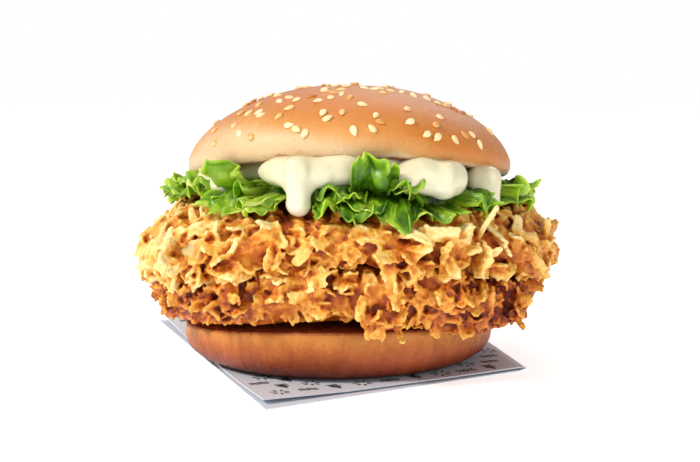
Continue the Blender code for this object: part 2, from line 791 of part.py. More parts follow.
def main():
    clear_scene()
    bread = new_material("bun_crust", (0.70, 0.36, 0.13), 0.5)
    crust = new_material("fried_crust", (0.75, 0.43, 0.14), 0.6)
    leaf = new_material("lettuce_leaf", (0.30, 0.50, 0.07), 0.45)
    cream = new_material("mayonnaise_cream", (0.90, 0.86, 0.72), 0.3)
    sheet = new_material("greaseproof_paper", (0.88, 0.88, 0.90), 0.6)
    make_paper(sheet)
    make_heel(bread)
    make_fillet("lower_fillet", lower_surface, lower_allows, 3, (-62, -48, -34), crust)
    make_fillet("upper_fillet", upper_surface, upper_allows, 7, (), crust)
    make_lettuce(leaf)
    make_mayo(cream)
    make_crown(bread)


main()
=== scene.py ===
"""Looks of the chicken burger: baked bread, fried crust, leaves, sauce and printed paper.

Lengths are in metres, in the part's own frame: +Z up, the front towards -Y, the origin under the
middle of the bun. The stack is bent over a shallow arch, as the part's solids are.
"""

import math
import random

import bmesh
import bpy
import numpy as np
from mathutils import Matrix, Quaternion, Vector, noise
from mathutils.bvhtree import BVHTree


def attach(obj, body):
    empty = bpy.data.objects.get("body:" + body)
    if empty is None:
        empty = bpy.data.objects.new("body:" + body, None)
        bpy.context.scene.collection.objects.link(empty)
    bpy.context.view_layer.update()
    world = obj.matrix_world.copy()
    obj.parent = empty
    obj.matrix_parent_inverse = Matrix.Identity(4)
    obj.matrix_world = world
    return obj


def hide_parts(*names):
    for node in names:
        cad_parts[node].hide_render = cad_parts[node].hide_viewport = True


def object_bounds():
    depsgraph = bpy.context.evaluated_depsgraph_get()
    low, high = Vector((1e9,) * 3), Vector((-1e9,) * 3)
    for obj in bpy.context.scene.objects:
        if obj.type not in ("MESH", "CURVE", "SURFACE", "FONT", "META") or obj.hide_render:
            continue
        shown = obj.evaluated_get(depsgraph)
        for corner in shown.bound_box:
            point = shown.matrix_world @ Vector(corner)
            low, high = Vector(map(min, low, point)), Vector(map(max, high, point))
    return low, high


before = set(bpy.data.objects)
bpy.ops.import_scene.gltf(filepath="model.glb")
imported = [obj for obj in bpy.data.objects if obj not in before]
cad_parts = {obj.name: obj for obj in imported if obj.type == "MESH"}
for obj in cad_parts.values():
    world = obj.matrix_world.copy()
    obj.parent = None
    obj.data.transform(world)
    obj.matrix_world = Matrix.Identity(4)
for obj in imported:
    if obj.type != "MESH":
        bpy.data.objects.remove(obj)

CAD_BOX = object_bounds()

MM = 0.001
TURN = 2 * math.pi

# The camera, at the photograph's angle. The image is 700 pixels wide.
IMAGE_WIDTH = 700
FOCAL_PIXELS = 1434
CAMERA_DISTANCE = 0.472
CAMERA_ELEVATION = math.radians(7.0)
CAMERA_TARGET = Vector((0.0007, 0.0, 0.0415))

# The stack, with the same driving sizes as the solids.
PAPER_TOP = 1.2 * MM
HEEL_HEIGHT = 17.2 * MM
SEAM_HEIGHT = 37.6 * MM
SEAM_WAVE = 1.3 * MM
FILLET_HEIGHT = 54.5 * MM
# Each fillet's half sizes along X and Y, and where the waves of its outline start.
UPPER_FORM = ((64.5 * MM, 57.0 * MM), 0.7)
LOWER_FORM = ((61.0 * MM, 55.5 * MM), 3.1)
UPPER_RIM_RISE = 5.0 * MM
CROWN_BASE = 64.2 * MM
CROWN_HEIGHT = 25.0 * MM
CROWN_TILT = 4.8 * MM
CROWN_RADIUS = 52.4 * MM
CROWN_LIP = 4.5 * MM
CROWN_LIP_START = 0.93
HEEL_RADIUS = 50.4 * MM
HEEL_FOOT_RADIUS = 41.0 * MM
HEEL_SLIP = -3.2 * MM
END_DROP = 12.0 * MM
END_REACH = 66.0 * MM
GAP = 0.3 * MM
CEILING_CLEARANCE = 1.4 * MM
CRAG_ROOM = 2.4 * MM

BACK_SEEDS = 46
SEED_LENGTH = 3.4 * MM
SEED_WIDTH = 2.1 * MM
SEED_THICKNESS = 1.0 * MM
SEED_REACH = 0.985
SEED_SECTOR = (200, 340)
SEED_SECTOR_START = 0.36

LEAF_ROOT = 38.0 * MM
LEAF_FRILL = 1.7 * MM
LEAF_THICKNESS = 0.35 * MM
BACK_LEAVES = 8
SCRAP_COUNT = 26
MAYO_RADIUS = 48.5 * MM
PIECE_TRIANGLES = 190_000

# Quick waves: how many sines are added, and what brings their sum to about -1 to 1.
RIPPLE_WAVES = 7
RIPPLE_SPREAD = 2.65
HOLLOW_RAYS = 9
HOLLOW_REACH = 5 * MM

# Sizes of the voxels that join the crust's flakes, and those that round the sauce.
BASE_VOXEL = 0.9 * MM
CRUST_VOXEL = 0.42 * MM
MAYO_VOXEL = 0.6 * MM

# Rings of points round the bun's halves, and the leaves' grid of points.
CROWN_SEGMENTS = 480
HEEL_SEGMENTS = 560
LEAF_ROWS, LEAF_COLUMNS = 22, 44
SMALL_LEAF_WIDTH = 16 * MM
SMALL_LEAF_COLUMNS = 32

# The print: how far its rows are turned, their spacing, and the strokes of its marks.
PRINT_TURN = 0.5
PRINT_COLUMN, PRINT_ROW = 9.2 * MM, 7.2 * MM
PRINT_REACH = 12
PRINT_STROKE = 0.75 * MM
PRINT_LIFT = 0.05 * MM
PRINT_LEVEL = 0.3 * MM
MARK_SIZES = (2.8 * MM, 3.4 * MM)

# Lights: name, place, size and power, then colour. All point at the middle of the burger.
LIGHT_TARGET = Vector((0, 0, 0.045))
LIGHTS = (
    ("key", (-0.80, -0.50, 0.80), 0.22, 12.3, (1.0, 0.98, 0.95)),
    ("fill", (0.85, -0.95, 0.35), 1.0, 4.8, (1.0, 1.0, 1.0)),
    ("back", (0.2, 0.9, 0.9), 0.9, 3.0, (1.0, 1.0, 1.0)),
)
SURROUND_STRENGTH = 0.43
FLOOR_SIZE = 4.0

# Leaves at the front: bearing in degrees from +X, width, then the distance from the middle and
# the height of the bend, and of the tip, in millimetres. The rest follow a rule round the back.
FRONT_LEAVES = (
    (188, 20, 53, 60.3, 59.5, 55.8),
    (201, 18, 54, 60, 60, 53),
    (214, 15, 55, 61, 58, 59),
    (229, 17, 57, 57, 56.5, 69),
    (234, 20, 56, 62, 60, 50.5),
    (248, 17, 54, 62, 58.5, 54),
    (267, 18, 53, 63, 57, 56),
    (278, 15, 58, 58, 56.5, 71),
    (276, 13, 54, 60, 58, 53),
    (284, 13, 55, 60, 61, 48.5),
    (290, 17, 55, 64, 58, 60),
    (299, 14, 56, 61, 61, 49),
    (312, 20, 55, 62, 61, 53),
    (327, 15, 55, 61, 60, 59),
    (338, 18, 55, 60, 62, 51),
    (351, 17, 54, 59.2, 60.0, 52.5),
)

# How strongly some leaves are frilled, by their place in FRONT_LEAVES, counted from one.
LEAF_FRILLS = {4: 1.5, 8: 1.6, 9: 0.45, 10: 0.35}

# Smaller leaves that fill the front in between, by the same six values.
EXTRA_LEAVES = (
    (194, 12, 55, 59, 60.5, 54),
    (222, 12, 56, 60, 60, 54),
    (241, 11, 56, 59, 60.5, 52),
    (262, 11, 56, 59, 60.5, 53),
    (272, 12, 55, 57, 60, 51),
    (294, 12, 55, 57, 60, 50),
    (306, 13, 56, 60, 61, 53),
    (316, 12, 56, 58, 61, 52),
    (331, 12, 56, 59, 61.5, 54),
    (344, 13, 55, 59, 61, 54),
)

# Seeds at the front: bearing in degrees from +X, and share of the crown's radius in hundredths.
FRONT_SEEDS = (
    (202, 62), (202, 67), (205, 58), (208, 53), (211, 91), (218, 98), (219, 80), (220, 38),
    (224, 72), (224, 91), (226, 59), (226, 82), (230, 96), (232, 83), (235, 86), (236, 98),
    (237, 72), (240, 67), (244, 89), (246, 72), (246, 82), (248, 37), (250, 95), (252, 67),
    (253, 97), (256, 99), (255, 51), (257, 57), (257, 75), (259, 39), (261, 88), (262, 70),
    (263, 62), (263, 92), (266, 55), (267, 65), (269, 42), (268, 88), (271, 71), (272, 98),
    (276, 80), (278, 97), (280, 90), (281, 94), (282, 48), (288, 51), (290, 60), (293, 49),
    (292, 93), (294, 83), (298, 54), (297, 98), (301, 99), (303, 93), (306, 55), (308, 87),
    (309, 99), (311, 60), (315, 96), (319, 63), (321, 69), (320, 95), (322, 99), (327, 70),
    (330, 74), (336, 76),
)


# The shape of the stack


def smooth(value, low, high):
    """A smooth step from 0 below low to 1 above high."""
    share = np.clip((value - low) / (high - low), 0.0, 1.0)
    return share * share * (3 - 2 * share)


def bump_at(value, middle, width):
    """A smooth bump of height 1 about the middle, gone at about twice the width."""
    return np.exp(-((value - middle) / width) ** 2)


def arch(x):
    return -END_DROP * (np.abs(x) / END_REACH) ** 2.4


def heel_top(x, y):
    return HEEL_HEIGHT + 0.65 * arch(x)


def seam(x, y):
    bearing = np.arctan2(y, x)
    wave = 0.6 * np.sin(7 * bearing + 1.2) + 0.4 * np.sin(11 * bearing)
    return SEAM_HEIGHT + arch(x) + SEAM_WAVE * wave * smooth(np.hypot(x, y), 38 * MM, 54 * MM)


def crown_base(x, y):
    return CROWN_BASE + 0.8 * arch(x) - CROWN_TILT * y / CROWN_RADIUS


def fillet_outline(angle, half, phase):
    round_off = 1 / np.hypot(np.cos(angle) / half[0], np.sin(angle) / half[1])
    wave = 0.022 * np.sin(2 * angle + phase) + 0.018 * np.sin(5 * angle + 2 * phase)
    return round_off * (1 + wave)


def rim_share(x, y, half, phase):
    """Distance from the middle as a share of the fillet's own reach in that direction."""
    return np.hypot(x, y) / fillet_outline(np.arctan2(y, x), half, phase)


def fillet_top(x):
    return FILLET_HEIGHT + 0.35 * arch(x)


def upper_rim(x, y):
    return seam(x, y) + UPPER_RIM_RISE - 0.35 * arch(x)


def ceiling(x, y):
    """The lowest height at which salad and mayonnaise stay clear of the upper fillet."""
    reach = np.hypot(x, y)
    share = np.minimum(1.0, reach / fillet_outline(np.arctan2(y, x), *UPPER_FORM))
    rim = upper_rim(x, y)
    room = CEILING_CLEARANCE + CRAG_ROOM * smooth(reach, 46 * MM, 54 * MM)
    return rim + (fillet_top(x) - rim) * np.sqrt(np.maximum(0.0, 1 - share**5)) + room


# Mesh helpers


def add_object(name, data):
    obj = bpy.data.objects.new(name, data)
    bpy.context.scene.collection.objects.link(obj)
    return obj


def new_piece(name, points, faces, material=None, smooth_shading=True):
    mesh = bpy.data.meshes.new(name)
    mesh.from_pydata([tuple(p) for p in points], [], faces)
    if material:
        mesh.materials.append(material)
    if smooth_shading:
        shade_smooth(mesh)
    return add_object(name, mesh)


def shade_smooth(mesh):
    mesh.polygons.foreach_set("use_smooth", [True] * len(mesh.polygons))


def copy_of_node(name, node):
    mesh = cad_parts[node].data.copy()
    mesh.materials.clear()
    return add_object(name, mesh)


def stands_for(obj, node):
    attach(obj, "root")
    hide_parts(node)


def apply_modifiers(obj):
    graph = bpy.context.evaluated_depsgraph_get()
    mesh = bpy.data.meshes.new_from_object(obj.evaluated_get(graph))
    obj.modifiers.clear()
    old = obj.data
    obj.data = mesh
    bpy.data.meshes.remove(old)


def remesh(obj, voxel, smoothing=0):
    modifier = obj.modifiers.new("remesh", "REMESH")
    modifier.mode = "VOXEL"
    modifier.voxel_size = voxel
    modifier.use_smooth_shade = True
    if smoothing:
        relax = obj.modifiers.new("relax", "SMOOTH")
        relax.factor = 0.5
        relax.iterations = smoothing
    apply_modifiers(obj)


def thin(obj, most, zone=None):
    """Thins a mesh towards this many triangles, and only where the zone is, if it is given."""
    obj.data.calc_loop_triangles()
    count = len(obj.data.loop_triangles)
    if count <= most:
        return
    modifier = obj.modifiers.new("thin", "DECIMATE")
    modifier.ratio = most / count
    if zone is not None:
        group = obj.vertex_groups.new(name="zone")
        for index in np.flatnonzero(zone):
            group.add([int(index)], 1.0, "REPLACE")
        modifier.vertex_group = group.name
    apply_modifiers(obj)
    obj.vertex_groups.clear()


def limit_triangles(obj, hidden=None):
    """Thins a mesh to its limit, first where the points are hidden."""
    if hidden is not None:
        thin(obj, PIECE_TRIANGLES, hidden)
    thin(obj, PIECE_TRIANGLES)
    shade_smooth(obj.data)


def join_into(obj, others):
    """Adds the meshes of the others to this object's mesh, and removes them."""
    whole = bmesh.new()
    whole.from_mesh(obj.data)
    for other in others:
        whole.from_mesh(other.data)
        mesh = other.data
        bpy.data.objects.remove(other)
        bpy.data.meshes.remove(mesh)
    whole.to_mesh(obj.data)
    whole.free()


def points_of(mesh):
    flat = np.empty(len(mesh.vertices) * 3)
    mesh.vertices.foreach_get("co", flat)
    return flat.reshape(-1, 3)


def set_points(mesh, points):
    mesh.vertices.foreach_set("co", points.ravel())
    mesh.update()


def normals_of(mesh):
    flat = np.empty(len(mesh.vertices) * 3)
    mesh.vertex_normals.foreach_get("vector", flat)
    return flat.reshape(-1, 3)


def tree_of(mesh, points):
    """A search tree of a mesh's faces through these points."""
    faces = [tuple(face.vertices) for face in mesh.polygons]
    return BVHTree.FromPolygons([Vector(p) for p in points], faces)


def set_attribute(mesh, name, values):
    attribute = mesh.attributes.new(name, "FLOAT", "POINT")
    attribute.data.foreach_set("value", np.asarray(values, dtype=np.float32))


def noise_at(points, size, seed):
    """Smooth noise from about -1 to 1 at each point."""
    shift = Vector((seed, 2 * seed, -seed))
    return np.array([noise.noise(Vector(p) / size + shift) for p in points])


def ripple(places, size, seed):
    """Quick smooth waves from about -1 to 1: crossing sine waves about this size apart."""
    rng = np.random.default_rng(seed)
    total = np.zeros(places.shape[:-1])
    for _ in range(RIPPLE_WAVES):
        way = rng.normal(size=places.shape[-1])
        way *= rng.uniform(0.6, 1.5) * TURN / size / np.linalg.norm(way)
        total += np.sin(places @ way + rng.uniform(0, TURN))
    return total / RIPPLE_SPREAD


def hollowness(mesh, reach, needed):
    """How shut in each needed point is, from 0 in the open to 1 at the bottom of a hole."""
    points, normals = points_of(mesh), normals_of(mesh)
    tree = tree_of(mesh, points)
    steps = np.arange(HOLLOW_RAYS)
    heights = 1 - 2 * (steps + 0.5) / HOLLOW_RAYS
    flat = np.sqrt(1 - heights**2)
    turns = steps * math.pi * (3 - math.sqrt(5))
    ways = np.stack([flat * np.cos(turns), flat * np.sin(turns), heights], axis=-1)
    shut = np.full(len(points), 0.5 * HOLLOW_RAYS)
    shut[needed] = 0
    starts = points + normals * (0.25 * MM)
    for way in ways:
        signs = np.where(normals @ way < 0, -1.0, 1.0)
        both = (Vector(way), Vector(-way))
        for k in np.flatnonzero(needed):
            distance = tree.ray_cast(Vector(starts[k]), both[signs[k] < 0], reach)[3]
            if distance is not None:
                shut[k] += 1 - 0.5 * distance / reach
    return neighbour_mean(mesh, shut / HOLLOW_RAYS, 2)


def neighbour_mean(mesh, values, rounds):
    """Averages point values over the mesh's edges."""
    edges = np.empty(len(mesh.edges) * 2, dtype=np.int64)
    mesh.edges.foreach_get("vertices", edges)
    first, second = edges[0::2], edges[1::2]
    count = np.bincount(edges, minlength=len(mesh.vertices)).astype(float)
    values = np.array(values, dtype=float)
    columns = values.reshape(len(values), -1)
    for _ in range(rounds):
        sums = np.empty_like(columns)
        for k in range(columns.shape[1]):
            total = np.bincount(first, columns[second, k], minlength=len(values))
            total += np.bincount(second, columns[first, k], minlength=len(values))
            sums[:, k] = total
        columns = 0.5 * columns + 0.5 * sums / count[:, None]
    return columns.reshape(values.shape)


def grid_faces(rows, columns, offset=0, flip=False, closed=False):
    """Quads of a grid of points, row by row. A closed grid joins its last column to its first."""
    faces = []
    for i in range(rows - 1):
        for j in range(columns if closed else columns - 1):
            k = (j + 1) % columns
            a, b = offset + i * columns + j, offset + i * columns + k
            quad = (a, b, b + columns, a + columns)
            faces.append(quad[::-1] if flip else quad)
    return faces


def sheet_solid(front, back):
    """Points and faces of the closed solid between two grids of points."""
    rows, columns = front.shape[:2]
    points = np.concatenate([front.reshape(-1, 3), back.reshape(-1, 3)])
    offset = rows * columns
    faces = grid_faces(rows, columns) + grid_faces(rows, columns, offset, flip=True)
    border = list(range(columns))
    border += [i * columns + columns - 1 for i in range(1, rows)]
    border += [(rows - 1) * columns + j for j in range(columns - 2, -1, -1)]
    border += [i * columns for i in range(rows - 2, 0, -1)]
    for a, b in zip(border, border[1:] + border[:1]):
        faces.append((a, offset + a, offset + b, b))
    return points, faces


def turned_solid(rings):
    """Points and faces of a closed solid through rings of points, each end drawn to a point."""
    rows, columns = rings.shape[:2]
    points = np.concatenate([rings.reshape(-1, 3), [rings[0].mean(0)], [rings[-1].mean(0)]])
    faces = grid_faces(rows, columns, closed=True)
    low, high = rows * columns, rows * columns + 1
    for j in range(columns):
        k = (j + 1) % columns
        faces.append((low, k, j))
        faces.append((high, (rows - 1) * columns + j, (rows - 1) * columns + k))
    return points, faces


def on_rings(values, segments):
    """One value for each ring of a turned solid, given to its points, then to its two ends."""
    return np.concatenate([np.repeat(values, segments), [values[0], values[-1]]])


class Heap:
    """Points and faces of many small closed solids, gathered for one piece."""

    def __init__(self):
        self.points, self.faces = [], []

    def add(self, points, faces):
        start = len(self.points)
        self.points.extend(points)
        self.faces.extend(tuple(start + v for v in face) for face in faces)


# Node materials


# Short names of the shader's sockets whose value is the same all over a surface.
SOCKETS = {
    "rough": "Roughness",
    "specular": "Specular IOR Level",
    "coat": "Coat Weight",
    "coat_rough": "Coat Roughness",
    "sheen": "Sheen Weight",
    "sheen_rough": "Sheen Roughness",
    "emission": "Emission Strength",
}


class Nodes:
    """Short calls to build a material's node tree."""

    def __init__(self, name, **settings):
        self.material = bpy.data.materials.new(name)
        self.material.use_nodes = True
        self.tree = self.material.node_tree
        self.shader = self.tree.nodes["Principled BSDF"]
        for key, value in settings.items():
            self.shader.inputs[SOCKETS[key]].default_value = value
        self.place = self.add("ShaderNodeTexCoord").outputs["Object"]

    def add(self, kind, **settings):
        node = self.tree.nodes.new(kind)
        for key, value in settings.items():
            setattr(node, key, value)
        return node

    def set(self, socket, value):
        if isinstance(value, bpy.types.NodeSocket):
            self.tree.links.new(value, socket)
        else:
            socket.default_value = value

    def math(self, operation, a, b=0.0):
        node = self.add("ShaderNodeMath", operation=operation)
        self.set(node.inputs[0], a)
        self.set(node.inputs[1], b)
        return node.outputs[0]

    def plus(self, base, pattern, amount, middle=0.0):
        """The base, with this amount of a pattern added, measured from the pattern's middle."""
        if middle:
            pattern = self.math("SUBTRACT", pattern, middle)
        return self.math("ADD", base, self.math("MULTIPLY", pattern, amount))

    def noise(self, size, detail=4.0, stretch=None, distortion=0.0):
        """Noise whose patches are about this many metres across."""
        place = self.place
        if stretch:
            scaled = self.add("ShaderNodeMapping")
            scaled.inputs["Scale"].default_value = stretch
            self.set(scaled.inputs["Vector"], place)
            place = scaled.outputs[0]
        node = self.add("ShaderNodeTexNoise")
        values = {"Scale": 1 / size, "Detail": detail, "Roughness": 0.55, "Distortion": distortion}
        for key, value in values.items():
            node.inputs[key].default_value = value
        self.set(node.inputs["Vector"], place)
        return node.outputs["Fac"]

    def cells(self, size):
        """Distance from the middle of each cell of this many metres, as a share of the size."""
        node = self.add("ShaderNodeTexVoronoi")
        node.inputs["Scale"].default_value = 1 / size
        self.set(node.inputs["Vector"], self.place)
        return node.outputs["Distance"]

    def attribute(self, name):
        return self.add("ShaderNodeAttribute", attribute_name=name).outputs["Fac"]

    def ramp(self, value, *stops):
        """stops are (position, (r, g, b)) with colours as the eye sees them, 0 to 255."""
        node = self.add("ShaderNodeValToRGB")
        elements = node.color_ramp.elements
        while len(elements) < len(stops):
            elements.new(0.5)
        for element, (position, colour) in zip(elements, stops):
            element.position = position
            element.color = linear(colour)
        self.set(node.inputs["Fac"], value)
        return node.outputs["Color"]

    def mix(self, share, a, b):
        """A mix of a colour socket and a plain colour."""
        node = self.add("ShaderNodeMix", data_type="RGBA")
        self.set(node.inputs["Factor"], share)
        self.set(node.inputs["A"], a)
        self.set(node.inputs["B"], b if isinstance(b, bpy.types.NodeSocket) else linear(b))
        return node.outputs["Result"]

    def steps(self, value, low, high):
        node = self.add("ShaderNodeMapRange", interpolation_type="SMOOTHSTEP")
        self.set(node.inputs["Value"], value)
        node.inputs["From Min"].default_value = low
        node.inputs["From Max"].default_value = high
        return node.outputs["Result"]

    def paint(self, colour):
        self.set(self.shader.inputs["Base Color"], colour)

    def bump(self, height, strength, distance):
        node = self.add("ShaderNodeBump")
        node.inputs["Strength"].default_value = strength
        node.inputs["Distance"].default_value = distance
        self.set(node.inputs["Height"], height)
        self.set(self.shader.inputs["Normal"], node.outputs["Normal"])

    def glow_through(self, weight, radius):
        """Light that scatters under the surface, as in bread, sauce and leaves."""
        self.shader.inputs["Subsurface Weight"].default_value = weight
        self.shader.inputs["Subsurface Radius"].default_value = radius
        self.shader.inputs["Subsurface Scale"].default_value = 1.0


def linear(colour):
    """The scene colour, with full cover, for a colour as the eye sees it, 0 to 255."""
    shares = (value / 255 for value in colour)
    dark = 10 / 255
    return (*((s / 12.92 if s <= dark else ((s + 0.055) / 1.055) ** 2.4) for s in shares), 1.0)


def crown_material():
    """Satin golden crust, pale and unbrowned near the cut, with a browned cut edge and a painted
    highlight on the front left.
    """
    n = Nodes("crown_crust", rough=0.42, specular=0.35, sheen=0.16, sheen_rough=0.45)
    height = n.attribute("height")
    patches = n.noise(0.022, 3.0)
    fine = n.noise(0.0012, 5.0)
    tone = n.plus(height, patches, 0.20, middle=0.5)
    tone = n.plus(tone, fine, 0.10, middle=0.5)
    tone = n.plus(tone, n.noise(0.005), 0.14, middle=0.5)
    # This ramp's tone includes the painted highlight carried in the height attribute.
    bake_and_painted_shading = n.ramp(
        tone,
        (0.00, (168, 104, 50)),
        (0.05, (214, 182, 142)),
        (0.20, (216, 180, 134)),
        (0.36, (212, 150, 82)),
        (0.58, (206, 124, 42)),
        (1.00, (196, 112, 30)),
    )
    speckle = n.steps(n.cells(0.0016), 0.25, 0.0)
    bake_and_painted_shading = n.mix(n.math("MULTIPLY", speckle, 0.16), bake_and_painted_shading, (150, 78, 30))
    edge = n.attribute("cut_edge")
    ragged = n.steps(n.plus(edge, patches, 0.3), 0.45, 0.85)
    colour = n.mix(ragged, bake_and_painted_shading, (140, 78, 34))
    crumb = n.attribute("crumb")
    n.paint(n.mix(crumb, colour, (244, 226, 186)))
    n.glow_through(0.12, (0.003, 0.0015, 0.0006))
    n.bump(n.plus(n.noise(0.0009, 6.0), n.noise(0.006), 1.4), 0.55, 0.0004)
    return n.material


def heel_material():
    """Bread baked darker towards the foot, partly as painted shade there, with a toasted cut face
    lightened by painted light.
    """
    n = Nodes("heel_crust", rough=0.5, specular=0.35)
    height = n.attribute("height")
    streaks = n.noise(0.004, 5.0, stretch=(1.0, 1.0, 0.25))
    patches = n.noise(0.016, 3.0)
    fine = n.noise(0.0011, 5.0)
    tone = n.plus(height, streaks, 0.42, middle=0.5)
    tone = n.plus(tone, patches, 0.25, middle=0.5)
    tone = n.plus(tone, fine, 0.30, middle=0.5)
    # The darkest stops, at the foot, are partly painted shade where the foot sits in shadow.
    bake_and_painted_shading = n.ramp(
        tone,
        (0.00, (78, 22, 4)),
        (0.14, (108, 40, 10)),
        (0.38, (142, 62, 18)),
        (0.64, (172, 92, 30)),
        (0.86, (194, 124, 48)),
        (1.00, (188, 114, 42)),
    )
    # The toast colours are lightened as painted light, since the cut face lies in shade under the
    # crust.
    toast_and_painted_light = n.ramp(
        n.noise(0.0028, 6.0),
        (0.30, (112, 50, 26)),
        (0.50, (152, 78, 42)),
        (0.72, (192, 118, 68)),
    )
    ragged = n.steps(n.plus(height, patches, 0.06), 0.965, 1.0)
    cut = n.math("MAXIMUM", n.attribute("toasted"), n.math("MULTIPLY", ragged, 0.85))
    n.paint(n.mix(cut, bake_and_painted_shading, toast_and_painted_light))
    n.glow_through(0.10, (0.003, 0.0014, 0.0005))
    n.bump(n.plus(n.noise(0.0008, 6.0), streaks, 1.5), 0.7, 0.0004)
    return n.material


def seed_material():
    """Cream to golden sesame, by the tone of each seed."""
    n = Nodes("sesame_seed", rough=0.38)
    tone = n.plus(n.attribute("tone"), n.noise(0.0012, 3.0), 0.2)
    colour = n.ramp(
        tone,
        (0.05, (252, 228, 182)),
        (0.45, (244, 208, 150)),
        (0.80, (232, 176, 104)),
        (1.00, (196, 118, 54)),
    )
    n.paint(colour)
    n.glow_through(0.15, (0.001, 0.0006, 0.0003))
    n.bump(n.noise(0.0004, 3.0), 0.2, 0.0001)
    return n.material


def crust_material(name):
    """Fried crust: cream crests and golden flanks, with red-brown painted shade in the hollows."""
    n = Nodes(name, rough=0.48, specular=0.35, coat=0.10, coat_rough=0.25)
    crest = n.attribute("crest")
    patches = n.noise(0.012, 3.0)
    grain = n.noise(0.0013, 6.0)
    waves = n.noise(0.0024, distortion=1.4)
    wrinkles = n.math("ABSOLUTE", n.math("SUBTRACT", n.math("MULTIPLY", waves, 2.0), 1.0))
    tone = n.plus(crest, patches, 0.42, middle=0.5)
    tone = n.plus(tone, grain, 0.24, middle=0.5)
    tone = n.plus(tone, wrinkles, 0.30, middle=0.2)
    colour = n.ramp(
        tone,
        (0.02, (104, 34, 6)),
        (0.16, (150, 62, 10)),
        (0.32, (190, 96, 18)),
        (0.47, (214, 130, 34)),
        (0.62, (230, 162, 60)),
        (0.78, (242, 194, 98)),
        (0.96, (252, 224, 156)),
    )
    n.paint(colour)
    n.glow_through(0.08, (0.002, 0.0010, 0.0004))
    relief = n.plus(n.math("MULTIPLY", grain, 1.2), wrinkles, 1.5)
    n.bump(n.plus(relief, n.noise(0.0005), 0.6), 0.55, 0.0005)
    return n.material


def lettuce_material():
    """Green leaf, paler along its veins and at its torn, frilled edge, with painted shade towards
    its root and towards the right.
    """
    n = Nodes("lettuce_leaf", rough=0.36, specular=0.4)
    pale = n.attribute("pale")
    patches = n.noise(0.007, 3.0)
    fine = n.noise(0.0012, 5.0)
    tone = n.plus(pale, patches, 0.42, middle=0.5)
    tone = n.plus(tone, fine, 0.16, middle=0.5)
    colour = n.ramp(
        tone,
        (0.05, (44, 80, 6)),
        (0.26, (92, 136, 14)),
        (0.48, (138, 178, 32)),
        (0.72, (178, 206, 68)),
        (1.00, (226, 238, 150)),
    )
    n.paint(colour)
    n.glow_through(0.45, (0.0014, 0.0024, 0.0004))
    n.bump(n.plus(n.noise(0.0022), fine, 0.5), 0.35, 0.0004)
    return n.material


def mayo_material():
    """Thick cream sauce: smooth, glossy and slightly translucent, with painted shade under the
    crown.
    """
    n = Nodes("mayonnaise_cream", rough=0.2, coat=0.35, coat_rough=0.08)
    colour = n.ramp(n.noise(0.006, 2.0), (0.3, (226, 219, 192)), (0.7, (231, 226, 205)))
    # The hollow attribute mixes in a darker, yellower cream as painted shade under the crown.
    n.paint(n.mix(n.attribute("hollow"), colour, (224, 216, 180)))
    n.glow_through(0.25, (0.003, 0.0024, 0.0015))
    n.bump(n.noise(0.004, 2.0), 0.15, 0.0005)
    return n.material


def paper_material():
    """Thin greaseproof paper with faint fibres and soft creases."""
    n = Nodes("greaseproof_paper", rough=0.55)
    fibres = n.noise(0.0009, stretch=(1.0, 4.0, 1.0))
    colour = n.ramp(fibres, (0.3, (197, 202, 213)), (0.7, (211, 215, 223)))
    n.paint(colour)
    n.glow_through(0.10, (0.001, 0.001, 0.001))
    n.bump(n.plus(n.noise(0.012, 3.0), fibres, 0.15), 0.4, 0.0006)
    return n.material


def ink_material():
    n = Nodes("print_ink", rough=0.6)
    n.paint(n.ramp(n.noise(0.0007), (0.3, (8, 8, 10)), (0.75, (34, 34, 40))))
    return n.material


def floor_material():
    n = Nodes("studio_floor", rough=0.7, emission=0.62)
    white = n.ramp(n.noise(0.3, 2.0), (0.3, (246, 246, 247)), (0.7, (249, 249, 249)))
    n.paint(white)
    n.set(n.shader.inputs["Emission Color"], white)
    return n.material


# The bun


def bun_wobble(angle):
    return 1 + 0.008 * np.sin(3 * angle + 1.0) + 0.005 * np.sin(5 * angle + 2.0)


def crown_at(share, height, angle):
    radius = CROWN_RADIUS * share * bun_wobble(angle)
    x, y = radius * np.cos(angle), radius * np.sin(angle)
    return np.stack([x, y, crown_base(x, y) + height], axis=-1)


def crown_dome(angle, share):
    rise = (CROWN_HEIGHT - CROWN_LIP) * np.maximum(0.0, 1 - share**2) ** 0.54
    return crown_at(share, CROWN_LIP + rise, angle)


def dome_frame(angle, share, step=0.01):
    """Point, outward normal and one tangent of the dome."""
    point = Vector(crown_dome(angle, share))
    along = Vector(crown_dome(angle + step, share) - crown_dome(angle - step, share))
    up = Vector(crown_dome(angle, share + step) - crown_dome(angle, share - step))
    return point, along.cross(up).normalized(), along.normalized()


